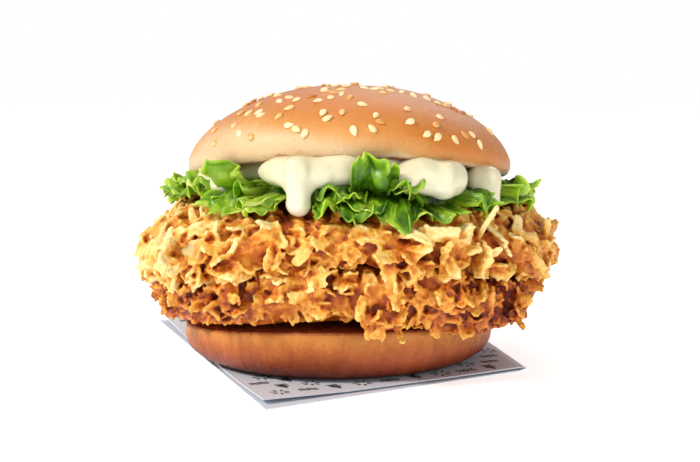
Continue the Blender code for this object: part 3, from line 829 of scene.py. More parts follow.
def make_crown():
    """The crown: a dome with a rolled lip, fine wrinkles over the lip and small dents above."""
    angle = np.linspace(0, TURN, CROWN_SEGMENTS, endpoint=False)
    rings, heights, cut, crumb = [], [], [], []
    for share in np.linspace(0.03, CROWN_LIP_START, 16):
        rings.append(crown_at(share, 0.0, angle))
        heights.append(0.0)
        cut.append(smooth(share, 0.86, 0.93))
        crumb.append(1 - smooth(share, 0.86, 0.93))
    for turn in np.linspace(0.1, 1.0, 14):
        share = CROWN_LIP_START + (1 - CROWN_LIP_START) * math.sin(turn * math.pi / 2)
        rise = CROWN_LIP * (1 - math.cos(turn * math.pi / 2))
        rings.append(crown_at(share, rise, angle))
        heights.append(rise)
        cut.append(1 - smooth(turn, 0.10, 0.50))
        crumb.append(0.0)
    for turn in np.linspace(0.02, 0.985, 84):
        share = math.cos(turn * math.pi / 2)
        rings.append(crown_dome(angle, share))
        heights.append(CROWN_LIP + (CROWN_HEIGHT - CROWN_LIP) * (1 - share**2) ** 0.54)
        cut.append(0.0)
        crumb.append(0.0)
    points, faces = turned_solid(np.array(rings))
    height, cut, crumb = (on_rings(row, CROWN_SEGMENTS) for row in (heights, cut, crumb))
    crown = new_piece("crown_bread", points, faces, crown_material())
    normals = normals_of(crown.data)
    bearing = np.arctan2(points[:, 1], points[:, 0])
    band = smooth(height, 0.5 * MM, 2 * MM) * (1 - smooth(height, 9 * MM, 16 * MM))
    place = np.stack([bearing * 52, height / MM * 0.28, np.zeros(len(bearing))], axis=-1)
    folds = noise_at(place, 1.6, 3.0)
    patches = 0.5 + 0.5 * noise_at(points, 14 * MM, 5.0)
    push = -0.45 * MM * np.maximum(0, folds) * band * patches
    push += 0.40 * MM * noise_at(points, 21 * MM, 8.0) * smooth(height, 1 * MM, 6 * MM)
    push += 0.05 * MM * noise_at(points, 2.4 * MM, 9.0)
    rim = smooth(height, -0.1 * MM, 0.5 * MM) * (1 - smooth(height, 1 * MM, 4 * MM))
    points = points + normals * push[:, None]
    points[:, 2] += 0.5 * MM * noise_at(place, 9.0, 12.0) * rim
    set_points(crown.data, points)
    # Darker towards the right, low on the crown, and a painted highlight on the upper front left.
    # Both are added to the height attribute that sets the crust colour.
    right_darkening_and_painted_highlight = 0.42 * smooth(points[:, 0], -15 * MM, 42 * MM) * smooth(height, 0.2 * MM, 2.4 * MM)
    right_darkening_and_painted_highlight *= 1 - 0.6 * smooth(height, 7 * MM, 14 * MM)
    front_left_painted_highlight = bump_at(points[:, 0], -35 * MM, 13 * MM) * bump_at(height, 11 * MM, 5 * MM)
    right_darkening_and_painted_highlight -= 0.22 * front_left_painted_highlight * (points[:, 1] < 0)
    set_attribute(crown.data, "height", height / CROWN_HEIGHT + right_darkening_and_painted_highlight)
    set_attribute(crown.data, "cut_edge", cut)
    set_attribute(crown.data, "crumb", crumb)
    stands_for(crown, "crown")


def seed_bearings(rng):
    found = [(math.radians(bearing), share / 100) for bearing, share in FRONT_SEEDS]
    low, high = (math.radians(bearing) for bearing in SEED_SECTOR)
    turn = 0
    while len(found) < len(FRONT_SEEDS) + BACK_SEEDS:
        turn += 1
        bearing = (turn * math.pi * (3 - math.sqrt(5)) + rng.uniform(-0.16, 0.16)) % TURN
        share = (turn / (1.3 * BACK_SEEDS)) ** 0.5 + rng.uniform(-0.03, 0.03)
        share = min(SEED_REACH, max(0.06, share))
        if low < bearing < high and share > SEED_SECTOR_START:
            continue
        found.append((bearing, share))
        if turn % 5 == 0:
            shift = rng.choice((-1, 1)) * SEED_LENGTH * 0.85 / (CROWN_RADIUS * share)
            found.append((bearing + shift, min(SEED_REACH, share + rng.uniform(-0.02, 0.02))))
    return found


def seed_places():
    """Middle, outward normal and heading of each seed, as in the solids."""
    rng = random.Random(11)
    places = []
    for bearing, share in seed_bearings(rng):
        centre, normal, along = dome_frame(bearing, min(SEED_REACH, share))
        normal = -normal if normal.z < 0 else normal
        turn = rng.uniform(0, TURN)
        heading = along * math.cos(turn) + normal.cross(along) * math.sin(turn)
        places.append((centre + normal * (SEED_THICKNESS * 0.2), normal, heading))
    return places


def make_seeds():
    """Every seed as a flat drop with a pointed end, lying slightly tilted in the crust."""
    rng = random.Random(23)
    heap, tones = Heap(), []
    along = np.linspace(0.04, 0.97, 11)
    outline = np.sin(math.pi * along**0.72) ** 0.8
    around = np.linspace(0, TURN, 14, endpoint=False)
    for centre, normal, heading in seed_places():
        tilt = rng.uniform(-0.22, 0.22)
        lean = (heading + normal * tilt).normalized()
        side = normal.cross(heading).normalized()
        up = lean.cross(side).normalized()
        size = rng.uniform(0.92, 1.08)
        rings = []
        for place, width in zip(along, outline):
            middle = np.array(centre + lean * (SEED_LENGTH * size * (place - 0.5)))
            across = np.outer(np.cos(around), side) * SEED_WIDTH / 2 * width * size
            high = np.outer(np.sin(around), up) * SEED_THICKNESS * 0.62 * width
            rings.append(middle + across + high)
        points, faces = turned_solid(np.array(rings))
        heap.add(points, faces)
        tone = rng.random() ** 1.6
        tones.extend([tone] * len(points))
    seeds = new_piece("sesame_seeds", heap.points, heap.faces, seed_material())
    set_attribute(seeds.data, "tone", tones)
    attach(seeds, "root")


def make_heel():
    """The heel: a flat foot, a round flank and a toasted cut face."""
    angle = np.linspace(0, TURN, HEEL_SEGMENTS, endpoint=False)
    profile = [(HEEL_FOOT_RADIUS * s, 0.0, 0.0) for s in np.linspace(0.03, 1.0, 8)]
    swell = HEEL_RADIUS - HEEL_FOOT_RADIUS
    for turn in np.linspace(0.06, 1.0, 22):
        out, up = math.sin(turn * math.pi / 2), 1 - math.cos(turn * math.pi / 2)
        profile.append((HEEL_FOOT_RADIUS + swell * out, 0.62 * up, 0.0))
    profile += [(HEEL_RADIUS, share, 0.0) for share in np.linspace(0.64, 0.88, 8)]
    for turn in np.linspace(0.15, 1.0, 6):
        up, inward = math.sin(turn * math.pi / 2), 1 - math.cos(turn * math.pi / 2)
        radius = HEEL_RADIUS - HEEL_RADIUS * 0.016 * inward
        profile.append((radius, 0.88 + 0.12 * up, float(turn > 0.9)))
    profile += [(HEEL_RADIUS * s, 1.0, 1.0) for s in np.linspace(0.975, 0.03, 34)]
    foot = PAPER_TOP + GAP
    rings = []
    for radius, share, _ in profile:
        x = radius * bun_wobble(angle + 2.0) * np.cos(angle) + HEEL_SLIP
        y = radius * bun_wobble(angle + 2.0) * np.sin(angle)
        rings.append(np.stack([x, y, foot + share * (heel_top(x, y) - foot)], axis=-1))
    points, faces = turned_solid(np.array(rings))
    heel = new_piece("heel_bread", points, faces, heel_material())
    normals = normals_of(heel.data)
    share, toasted = (on_rings([row[k] for row in profile], HEEL_SEGMENTS) for k in (1, 2))
    bearing = np.arctan2(points[:, 1], points[:, 0] - HEEL_SLIP)
    place = np.stack([bearing * 50, share * 4, toasted * 3], axis=-1)
    side = smooth(share, 0.02, 0.2) * (1 - toasted)
    push = 0.15 * MM * noise_at(place, 1.4, 3.0) * side
    push += 0.07 * MM * ripple(points, 1.3 * MM, 2) * side
    push += 0.40 * MM * noise_at(points, 17 * MM, 4.0) * side
    push += 0.20 * MM * (noise_at(points, 2.0 * MM, 6.0) - 1) * toasted
    set_points(heel.data, points + normals * push[:, None])
    set_attribute(heel.data, "height", share)
    set_attribute(heel.data, "toasted", toasted)
    stands_for(heel, "heel")


# The fried crust
# Outline of its two ends: height, then the furthest x to the left and to the right, in mm.
END_OUTLINE = (
    (10.0, -52.0, 49.0),
    (13.0, -54.5, 53.0),
    (16.0, -57.5, 55.5),
    (18.5, -60.5, 57.5),
    (21.0, -65.0, 59.0),
    (25.0, -69.0, 60.5),
    (29.0, -69.5, 66.5),
    (34.0, -69.5, 68.8),
    (37.0, -69.5, 69.0),
    (39.5, -68.5, 67.0),
    (42.0, -65.8, 66.5),
    (45.0, -62.8, 67.5),
    (48.0, -59.3, 67.5),
    (52.0, -54.0, 63.0),
)


def in_outline(x, y, z):
    """Whether points lie inside the solids' own bounds and the outline of the two ends."""
    heights, lefts, rights = np.array(END_OUTLINE).T * MM
    spare = 1.0 * MM * smooth(z, 40 * MM, 44 * MM) + 2.0 * MM * smooth(y, 0 * MM, 12 * MM)
    left, right = np.interp(z, heights, lefts), np.interp(z, heights, rights)
    inside = (left - spare < x) & (x < right + spare)
    for low, value, high in zip(CAD_BOX[0], (x, y, z), CAD_BOX[1]):
        inside = inside & (low < value) & (value < high)
    return inside


def upper_clear(x, y, z):
    """Whether points of the upper crust may stand there. At the rim it hangs over the seam."""
    share = rim_share(x, y, *UPPER_FORM)
    below = z > seam(x, y) + GAP / 2 - 4.0 * MM * smooth(share, 0.94, 1.01)
    above = z < ceiling(x, y) - GAP + 1.5 * MM + 2.2 * MM * smooth(share, 0.76, 0.90)
    return below & (above | (share > 1.0)) & (z < 55 * MM) & in_outline(x, y, z)


def lower_clear(x, y, z):
    """Whether points of the lower crust may stand there. At the rim it rises over the seam."""
    share = rim_share(x, y, *LOWER_FORM)
    outside = (np.hypot(x - HEEL_SLIP, y) > HEEL_RADIUS + 1.0 * MM) & (x > 0) & (z > 14.0 * MM)
    rest = 0.8 * MM + 1.2 * MM * (1 - smooth(x, -5 * MM, 30 * MM))
    above = (z > heel_top(x, y) + rest) | outside
    top = seam(x, y) - GAP / 2 + 3.2 * MM * smooth(share, 0.94, 1.01)
    return above & (z < top) & in_outline(x, y, z)


def flake(root, normal, heading, width, length, thickness, curl, lean, rng):
    """A crisp flake: a ragged sheet that rises from the crust, bends over, twists and ruffles."""
    rows, columns = 10, 9
    normal, heading = Vector(normal), Vector(heading)
    side = normal.cross(heading).normalized()
    way = (normal * math.cos(lean) + heading * math.sin(lean)).normalized()
    twist = rng.uniform(-1.1, 1.1) / rows
    across = np.linspace(-1, 1, columns)
    ragged = [[rng.uniform(0.78, 1.10) for _ in range(rows)] for _ in range(2)]
    ends = np.array([rng.uniform(-0.5, 0.5) * MM for _ in across])
    ruffles = width / rng.uniform(1.6, 2.6) / MM
    ruffle, drift = rng.uniform(0.30, 0.75) * MM, rng.uniform(-2, 2)
    phase, cup = rng.uniform(0, TURN), rng.uniform(-0.8, 0.8) * MM
    step = (length + 1.0 * MM) / (rows - 1)
    place = root - normal * (1.0 * MM)
    bend = curl / (rows - 1)
    front, back = np.empty((rows, columns, 3)), np.empty((rows, columns, 3))
    for i in range(rows):
        share = i / (rows - 1)
        half = width / 2 * (0.60 + 0.45 * math.sin(math.pi * (0.12 + 0.80 * share)))
        face = way.cross(side).normalized()
        thick = thickness / 2 * (1 - 0.30 * share)
        reach = half * across * np.where(across > 0, ragged[1][i], ragged[0][i])
        wave = ruffle * share**0.6 * np.sin(ruffles * across + phase + drift * share)
        wave = wave + cup * math.sin(2.2 * share + phase) * (across**2 - 0.4)
        spots = np.array(place) + np.outer(reach, side) + np.outer(wave, face)
        spots += np.outer(ends * share**2, way)
        front[i] = spots + np.array(face) * thick
        back[i] = spots - np.array(face) * thick
        place = place + way * step
        way = Quaternion(side, bend * rng.uniform(0.3, 1.7)) @ way
        side = (Quaternion(way, twist) @ side).normalized()
    return front, back


def scatter(base, clear, zone, kind, seed):
    """Flakes over the part of the base mesh that the zone gives, each clear of other layers."""
    count, widths, lengths, thicknesses, curls, leans, fall = kind
    rng = random.Random(seed)
    base.data.calc_loop_triangles()
    triangles = len(base.data.loop_triangles)
    corners = np.empty(triangles * 3, dtype=np.int32)
    base.data.loop_triangles.foreach_get("vertices", corners)
    vertices = points_of(base.data)
    corners = vertices[corners.reshape(-1, 3)]
    cross = np.cross(corners[:, 1] - corners[:, 0], corners[:, 2] - corners[:, 0])
    area = np.linalg.norm(cross, axis=1)
    middles = corners.mean(axis=1)
    weights = np.cumsum(area * zone(*middles.T))
    weights /= weights[-1]
    normals = cross / area[:, None]
    heap, placed = Heap(), 0
    for _ in range(count * 8):
        k = int(np.searchsorted(weights, rng.random()))
        root, normal = Vector(middles[k]), Vector(normals[k])
        tangent = normal.orthogonal().normalized()
        turn = rng.uniform(0, TURN)
        heading = tangent * math.cos(turn) + normal.cross(tangent) * math.sin(turn)
        down = Vector((0, 0, -1)) - normal * -normal.z
        heading = (heading * (1 - abs(fall)) + down * fall).normalized()
        sizes = [rng.uniform(*limits) * MM for limits in (widths, lengths, thicknesses)]
        bends = [rng.uniform(*limits) for limits in (curls, leans)]
        front, back = flake(root, normal, heading, *sizes, *bends, rng)
        if not clear(*front[2:].reshape(-1, 3).T).all():
            continue
        heap.add(*sheet_solid(front, back))
        placed += 1
        if placed == count:
            break
    return new_piece("flakes", heap.points, heap.faces)


def scatter_crumbs(base, clear, zone, count, seed):
    """Small round crumbs and blisters, alone or in threes."""
    rng = random.Random(seed)
    vertices, normals = points_of(base.data), normals_of(base.data)
    allowed = np.flatnonzero(zone(*vertices.T))
    crumbs = bmesh.new()
    for _ in range(count):
        k = allowed[rng.randrange(len(allowed))]
        normal = Vector(normals[k])
        for _ in range(rng.choice((1, 1, 2, 3))):
            size = rng.uniform(0.45, 1.25) * MM
            jitter = Vector([rng.uniform(-1.1, 1.1) * MM for _ in range(3)])
            place = Vector(vertices[k]) + normal * (size * rng.uniform(0.2, 1.2)) + jitter
            outer, lowest = place + normal * size, place - Vector((0, 0, size))
            if not (clear(*outer) and clear(*lowest)):
                continue
            ball = bmesh.ops.create_icosphere(crumbs, subdivisions=1, radius=size)
            for vertex in ball["verts"]:
                vertex.co = place + vertex.co * rng.uniform(0.7, 1.3)
    mesh = bpy.data.meshes.new("crumbs")
    crumbs.to_mesh(mesh)
    crumbs.free()
    return add_object("crumbs", mesh)


# The last argument gives the painted light and shade, and the tone shifts, of each crust's colour.
def make_crust(name, node, clear, kinds, crumbs, seed, bake_and_painted_shading):
    """A fillet's crust: the solid's own form, roughened, with curled flakes grown from it."""
    crust = copy_of_node(name, node)
    remesh(crust, BASE_VOXEL, smoothing=4)
    crumb_count, shown_zone = crumbs
    points, normals = points_of(crust.data), normals_of(crust.data)
    ridges = 1 - 2 * np.abs(noise_at(points, 6.5 * MM, seed))
    lumps = 1.0 * MM * ridges + 0.7 * MM * noise_at(points, 2.8 * MM, seed + 2)
    lumps += 1.3 * MM * noise_at(points, 13 * MM, seed + 3)
    shown = neighbour_mean(crust.data, shown_zone(*points.T).astype(float), 6)
    moved = points + normals * (lumps * shown)[:, None]
    carved = points + normals * (np.minimum(0, lumps - 0.6 * MM) * shown)[:, None]
    points = np.where(clear(*moved.T)[:, None], moved, carved)
    set_points(crust.data, points)
    surface = tree_of(crust.data, points)
    grown = []
    for k, (kind, zone) in enumerate(kinds):
        grown.append(scatter(crust, clear, zone, kind, seed + 5 * k))
    grown.append(scatter_crumbs(crust, clear, shown_zone, crumb_count, seed + 2))
    join_into(crust, grown)
    remesh(crust, CRUST_VOXEL, smoothing=1)
    mesh = crust.data
    points, normals = points_of(mesh), normals_of(mesh)
    lift = np.array([surface.find_nearest(Vector(p))[3] for p in points])
    crinkle = 0.12 * MM * ripple(points, 2.0 * MM, seed)
    crinkle += 0.08 * MM * ripple(points, 1.05 * MM, seed + 1)
    set_points(mesh, points + normals * (crinkle * smooth(lift, 0, 1.2 * MM))[:, None])
    limit_triangles(crust, hidden=~shown_zone(*points.T))
    mesh = crust.data
    points, normals = points_of(mesh), normals_of(mesh)
    lift = np.array([surface.find_nearest(Vector(p))[3] for p in points])
    fine = neighbour_mean(mesh, points, 3)
    fine_curve = ((points - fine) * normals).sum(axis=1) / (0.14 * MM)
    needed = shown_zone(*points.T)
    hollow = hollowness(mesh, HOLLOW_REACH, needed)
    least, most = np.percentile(hollow[needed], (4, 96))
    openness = 1 - np.clip((hollow - least) / (most - least), 0, 1)
    # The crest tone: paler the further a point stands off the base, with painted shade where it is
    # shut in and in fine creases, plus the painted light and shade of the given function.
    crest = 0.36 * (1 - np.exp(-lift / (2.0 * MM))) + 0.50 * openness
    crest += 0.08 * np.clip(fine_curve, -1, 1) + 0.08 - bake_and_painted_shading(points)
    set_attribute(mesh, "crest", np.clip(crest, 0, 1))
    mesh.materials.append(crust_material(name + "_finish"))
    stands_for(crust, node)


def painted_highlight_rim(points):
    """How near points are to the painted highlight on the stretch of rim at the front right."""
    x, y, z = points.T
    return bump_at(x, 27 * MM, 14 * MM) * bump_at(z, 47 * MM, 4.5 * MM) * (y < 0)


def seam_shade(over_seam, middle, points):
    """Uneven painted shade in the recess at the seam, by height over the seam."""
    return bump_at(over_seam, middle, 3.0 * MM) * (0.6 + 0.5 * ripple(points, 15 * MM, 4))


def upper_tone_and_painted_shading(points):
    """How much darker the upper crust is coloured: painted shade on top behind its rim and in the
    recess above the seam, painted light at the left end and on the front right rim, paler along the
    rim's top, darker in the middle and at the right end.
    """
    x, y, z = points.T
    # Painted light at the left end, where the light falls, and the painted highlight on the front
    # right rim; darker at the far right end.
    ends = 0.10 * smooth(-x, 20 * MM, 58 * MM) + 0.10 * painted_highlight_rim(points)
    ends -= 0.10 * smooth(x, 48 * MM, 60 * MM)
    middle = 0.09 * (1 - smooth(np.abs(x), 15 * MM, 40 * MM))
    over_seam = z - seam(x, y)
    # Painted shade in the recess above the seam.
    recess = seam_shade(over_seam, 2.0 * MM, points)
    crest = 0.05 * smooth(over_seam, 7 * MM, 11 * MM)
    # Painted shade on the top behind the rim, under the salad and the crown.
    inner = 1 - smooth(np.hypot(x, y), 49 * MM, 57 * MM)
    return 0.30 * inner + middle + 0.16 * recess - crest - ends


def lower_tone_and_painted_shade(points):
    """How much darker the lower crust is coloured: towards its foot and its ends, with painted
    shade in the recess at the seam.
    """
    x, y, z = points.T
    low = 1 - smooth(z, 18 * MM, 34 * MM)
    ends = 0.18 * smooth(-x, 8 * MM, 42 * MM) + 0.20 * smooth(x, 10 * MM, 42 * MM)
    under_seam = seam(x, y) - z
    # Painted shade in the recess under the seam.
    recess = seam_shade(under_seam, -1.0 * MM, points)
    pale = bump_at(under_seam, 5.5 * MM, 2.5 * MM) * (1 - smooth(np.abs(x), 25 * MM, 45 * MM))
    return 0.05 + 0.07 * low + ends + 0.12 * recess - 0.07 * pale


def upper_shown(x, y, z):
    """The part of the upper fillet that can be seen."""
    reach = np.hypot(x, y)
    return (reach > 44 * MM) & ((z > seam(x, y) + 1.0 * MM) | (reach > 53 * MM))


def upper_top(x, y, z):
    reach = np.hypot(x, y)
    return (44 * MM < reach) & (reach < 56 * MM) & (z > seam(x, y) + 8 * MM)


def upper_edge(x, y, z):
    """The crest of the upper fillet's rim, where the biggest flakes stand."""
    return (rim_share(x, y, *UPPER_FORM) > 0.86) & (z > seam(x, y) + 6 * MM)


def upper_flank(x, y, z):
    return (rim_share(x, y, *UPPER_FORM) > 0.86) & (z < seam(x, y) + 8 * MM)


def upper_seam(x, y, z):
    return (rim_share(x, y, *UPPER_FORM) > 0.93) & (z < seam(x, y) + 4 * MM)


def lower_shown(x, y, z):
    """The part of the lower fillet that can be seen."""
    outside = np.hypot(x - HEEL_SLIP, y) > HEEL_RADIUS
    open_below = (z > heel_top(x, y) + 1.0 * MM) | outside
    return (np.hypot(x, y) > 46 * MM) & open_below & (z < seam(x, y) - 0.4 * MM)


def lower_edge(x, y, z):
    return (rim_share(x, y, *LOWER_FORM) > 0.90) & (z > seam(x, y) - 9 * MM)


def lower_seam(x, y, z):
    return (rim_share(x, y, *LOWER_FORM) > 0.93) & (z > seam(x, y) - 4 * MM)


def lower_flank(x, y, z):
    return lower_shown(x, y, z) & (z < seam(x, y) - 6 * MM)


def lower_foot(x, y, z):
    return lower_shown(x, y, z) & (z < heel_top(x, y) + 6 * MM)


# Kinds of flakes: how many, then widths, lengths and thicknesses in mm, how far they curl and
# how far they lean over, in radians, and how much they head downwards, or upwards if negative.
UPPER_KINDS = (
    ((340, (2.0, 4.4), (1.4, 3.2), (1.0, 1.5), (0.2, 2.6), (0.2, 1.2), 0.0), upper_top),
    ((150, (2.8, 4.4), (8.0, 14.0), (1.4, 2.0), (-0.6, 1.8), (0.8, 1.35), 0.35), upper_edge),
    ((60, (2.6, 4.4), (5.0, 9.0), (1.2, 1.6), (1.0, 4.0), (0.2, 0.9), 0.0), upper_edge),
    ((170, (5.5, 10.0), (5.0, 8.5), (1.2, 1.6), (-0.3, 2.0), (0.7, 1.35), 0.45), upper_edge),
    ((90, (2.2, 3.6), (5.0, 9.0), (1.3, 1.7), (-0.5, 1.6), (0.8, 1.35), 0.5), upper_flank),
    ((260, (3.6, 7.5), (2.8, 6.5), (1.1, 1.5), (-0.6, 2.0), (0.7, 1.35), 0.6), upper_flank),
    ((150, (2.6, 5.5), (3.5, 6.5), (1.2, 1.6), (-0.4, 1.0), (0.9, 1.35), 0.9), upper_seam),
    ((220, (1.8, 3.6), (1.4, 3.2), (0.9, 1.3), (-0.5, 2.2), (0.2, 1.2), 0.0), upper_shown),
)
LOWER_KINDS = (
    ((80, (2.2, 3.6), (5.0, 9.0), (1.3, 1.7), (-0.5, 1.8), (0.8, 1.35), 0.2), lower_edge),
    ((240, (3.6, 7.5), (3.0, 6.0), (1.1, 1.5), (-0.3, 2.6), (0.4, 1.3), 0.0), lower_edge),
    ((110, (2.4, 5.0), (2.5, 5.0), (1.1, 1.5), (-0.3, 1.0), (0.7, 1.3), -0.9), lower_seam),
    ((60, (2.2, 3.4), (4.0, 7.5), (1.2, 1.6), (-0.5, 1.6), (0.8, 1.35), 0.4), lower_flank),
    ((300, (3.0, 6.5), (2.2, 5.0), (1.0, 1.4), (-0.6, 2.2), (0.6, 1.35), 0.45), lower_flank),
    ((150, (1.6, 3.2), (1.0, 2.4), (0.9, 1.2), (-0.5, 2.2), (0.2, 1.3), 0.0), lower_foot),
    ((260, (1.8, 3.4), (1.2, 2.8), (0.9, 1.2), (-0.5, 2.2), (0.2, 1.2), 0.0), lower_shown),
)


# Mayonnaise
# Swellings: x, y, how far below the crown, then half sizes along the rim, outwards and upwards.
MAYO_WEBS = (
    (-13.2, -49.6, 4.6, 9.5, 4.7, 3.8),
    (-14.0, -51.0, 7.2, 4.8, 3.6, 4.2),
    (24.0, -45.6, 4.8, 11.0, 4.4, 4.2),
    (29.6, -42.6, 5.0, 6.0, 4.8, 4.6),
    (-3.0, -49.6, 4.0, 9.0, 2.8, 3.6),
    (42.0, -30.0, 5.6, 5.0, 3.2, 4.4),
)


def web(x, y, drop, along, outward, high):
    """An oval swelling under the crown, where a drop widens into the layer above it."""
    bearing = math.atan2(y, x)
    out = np.array([math.cos(bearing), math.sin(bearing)])
    side = np.array([-math.sin(bearing), math.cos(bearing)])
    middle = crown_base(x * MM, y * MM) - drop * MM
    angle = np.linspace(0, TURN, 28, endpoint=False)
    rings = []
    for turn in np.linspace(0.06, 0.94, 11) * math.pi:
        spread = math.sin(turn) * MM
        flat = np.outer(np.cos(angle) * along * spread, side)
        flat += np.outer(np.sin(angle) * outward * spread, out)
        level = np.full((len(angle), 1), middle - high * MM * math.cos(turn))
        rings.append(np.concatenate([flat + np.array([x, y]) * MM, level], axis=1))
    return new_piece("web", *turned_solid(np.array(rings)))


def make_mayo():
    """The sauce, rounded from its solid so that its drops run into one another."""
    mayo = copy_of_node("mayonnaise_sauce", "mayonnaise")
    join_into(mayo, [web(*row) for row in MAYO_WEBS])
    remesh(mayo, MAYO_VOXEL, smoothing=28)
    points, normals = points_of(mayo.data), normals_of(mayo.data)
    reach = np.hypot(points[:, 0], points[:, 1])
    swell = 0.8 * MM + 0.5 * MM * noise_at(points, 6 * MM, 2.0)
    swell += 0.9 * MM * noise_at(points, 9 * MM, 6.0)
    top = crown_base(points[:, 0], points[:, 1])
    swell *= 0.25 + 0.75 * smooth(points[:, 2], top - 11 * MM, top - 7 * MM)
    points += normals * (swell * smooth(reach, 44 * MM, 49 * MM))[:, None]
    points[:, 2] += 1.3 * MM * smooth(points[:, 2], top - 6 * MM, top - 1 * MM)
    set_points(mayo.data, points)
    limit_triangles(mayo)
    places = points_of(mayo.data)
    under = crown_base(places[:, 0], places[:, 1]) - places[:, 2]
    # Painted shade under the crown: the hollow attribute is 1 close under it and fades out lower
    # down.
    set_attribute(mayo.data, "hollow", 1 - smooth(under, 3 * MM, 11 * MM))
    mayo.data.materials.append(mayo_material())
    stands_for(mayo, "mayonnaise")


# Lettuce
# The drops of sauce, which the leaves pass behind: x, y, radius and lowest point, in mm.
DROPS = (
    (-14.3, -52.4, 5.0, 46.0),
    (-20.5, -46.0, 7.0, 57.5),
    (27.4, -45.8, 7.0, 53.0),
    (43.5, -31.0, 4.6, 48.5),
)


def leaf_grid(leaf, seed):
    """Points of a leaf as a grid, and how pale it is at each, painted shade included. Rows run from
    root to torn edge.
    """
    bearing, width, root_reach, root, bend_reach, bend_height, reach, tip, phase = leaf
    columns = SMALL_LEAF_COLUMNS if width < SMALL_LEAF_WIDTH else LEAF_COLUMNS
    steps = np.linspace(0, 1, LEAF_ROWS), np.linspace(-1, 1, columns)
    out, across = np.meshgrid(*steps, indexing="ij")
    size = width / (18 * MM)
    edge = np.stack([across, np.full_like(across, seed)], axis=-1)
    lively = LEAF_FRILLS.get(seed, 1.0)
    notch = 0.07 * ripple(edge, 1.1 / size, seed) + 0.03 * ripple(edge, 0.45 / size, seed + 50)
    notch += 0.018 * ripple(edge, 0.2 / size, seed + 90)
    length = out * (0.96 - 0.14 * across**2 - 0.16 * across**6 + notch)
    a, b, c = (1 - length) ** 2, 2 * length * (1 - length), length**2
    radius = a * root_reach + b * bend_reach + c * reach
    height = a * root + b * bend_height + c * tip
    slope_r = (1 - length) * (bend_reach - root_reach) + length * (reach - bend_reach)
    slope_z = (1 - length) * (bend_height - root) + length * (tip - bend_height)
    norm = np.hypot(slope_r, slope_z)
    spot = np.stack([across * width / 2, out * 16 * MM], axis=-1)
    frill = LEAF_FRILL * out**1.3 * np.sin(across * 4.6 + phase)
    frill += 1.15 * MM * out**1.6 * ripple(spot, 7.5 * MM, seed + 1)
    frill += 0.75 * MM * out**3 * ripple(spot, 3.6 * MM, seed + 2)
    curl = smooth(out, 0.55, 1.0) ** 2 * ripple(edge, 1.0 / size, seed + 3)
    hem = smooth(out, 0.78, 1.0) ** 2 * ripple(edge, 0.4 / size, seed + 7)
    blister = ripple(spot, 2.4 * MM, seed + 4)
    relief = lively * (frill + 1.7 * MM * curl + 0.8 * MM * hem)
    relief += 0.22 * MM * blister * smooth(out, 0.1, 0.5)
    back = 0.9 * MM * lively * np.abs(curl + 0.6 * hem) * smooth(out, 0.75, 1.0)
    radius -= relief * slope_z / norm + back * slope_r / norm
    height += relief * slope_r / norm - back * slope_z / norm
    sway = 0.9 * MM * out * ripple(spot, 6.0 * MM, seed + 5)
    angle = bearing + (across * width / 2 * (0.7 + 0.3 * out) + sway) / reach
    for drop in DROPS:
        drop_x, drop_y, drop_radius, lowest = (value * MM for value in drop)
        distance, turn = math.hypot(drop_x, drop_y), angle - math.atan2(drop_y, drop_x)
        beside = distance * np.sin(turn)
        inner = distance - np.sqrt(np.maximum(0, drop_radius**2 - beside**2))
        hidden = (np.abs(beside) < drop_radius) & (np.cos(turn) > 0) & (height > lowest)
        radius = np.where(hidden, np.minimum(radius, inner), radius)
    x, y = radius * np.cos(angle), radius * np.sin(angle)
    height = np.maximum(height, ceiling(x, y) + 2 * GAP + LEAF_THICKNESS)
    rib = np.exp(-((across * 6 + 0.5 * np.sin(3 * out + phase)) ** 2)) * (1 - 0.6 * out)
    branch = np.abs(((across * 2.4 * size + out * 1.9 * np.sign(across)) % 1.0) - 0.5)
    veins = np.maximum(rib, 0.5 * np.exp(-((branch * 18) ** 2)))
    pale = 0.29 + 0.24 * veins + 0.24 * smooth(out, 0.96, 1.0) + 0.18 * smooth(out, 0.6, 1.0)
    pale += 0.16 * ripple(spot, 9.0 * MM, seed + 6) + 0.06 * blister
    # Painted shade: darker towards the root, under the crown, and towards the right, away from the
    # light.
    pale -= 0.22 * (1 - smooth(out, 0.1, 0.5))
    pale -= 0.20 * smooth(x, -16 * MM, 10 * MM) * (1 - 0.4 * smooth(x, 35 * MM, 50 * MM))
    return np.stack([x, y, height], axis=-1), np.clip(pale, 0, 1)


def grid_normals(grid):
    along = np.gradient(grid, axis=0)
    across = np.gradient(grid, axis=1)
    normal = np.cross(across, along)
    return normal / np.maximum(np.linalg.norm(normal, axis=-1, keepdims=True), 1e-12)


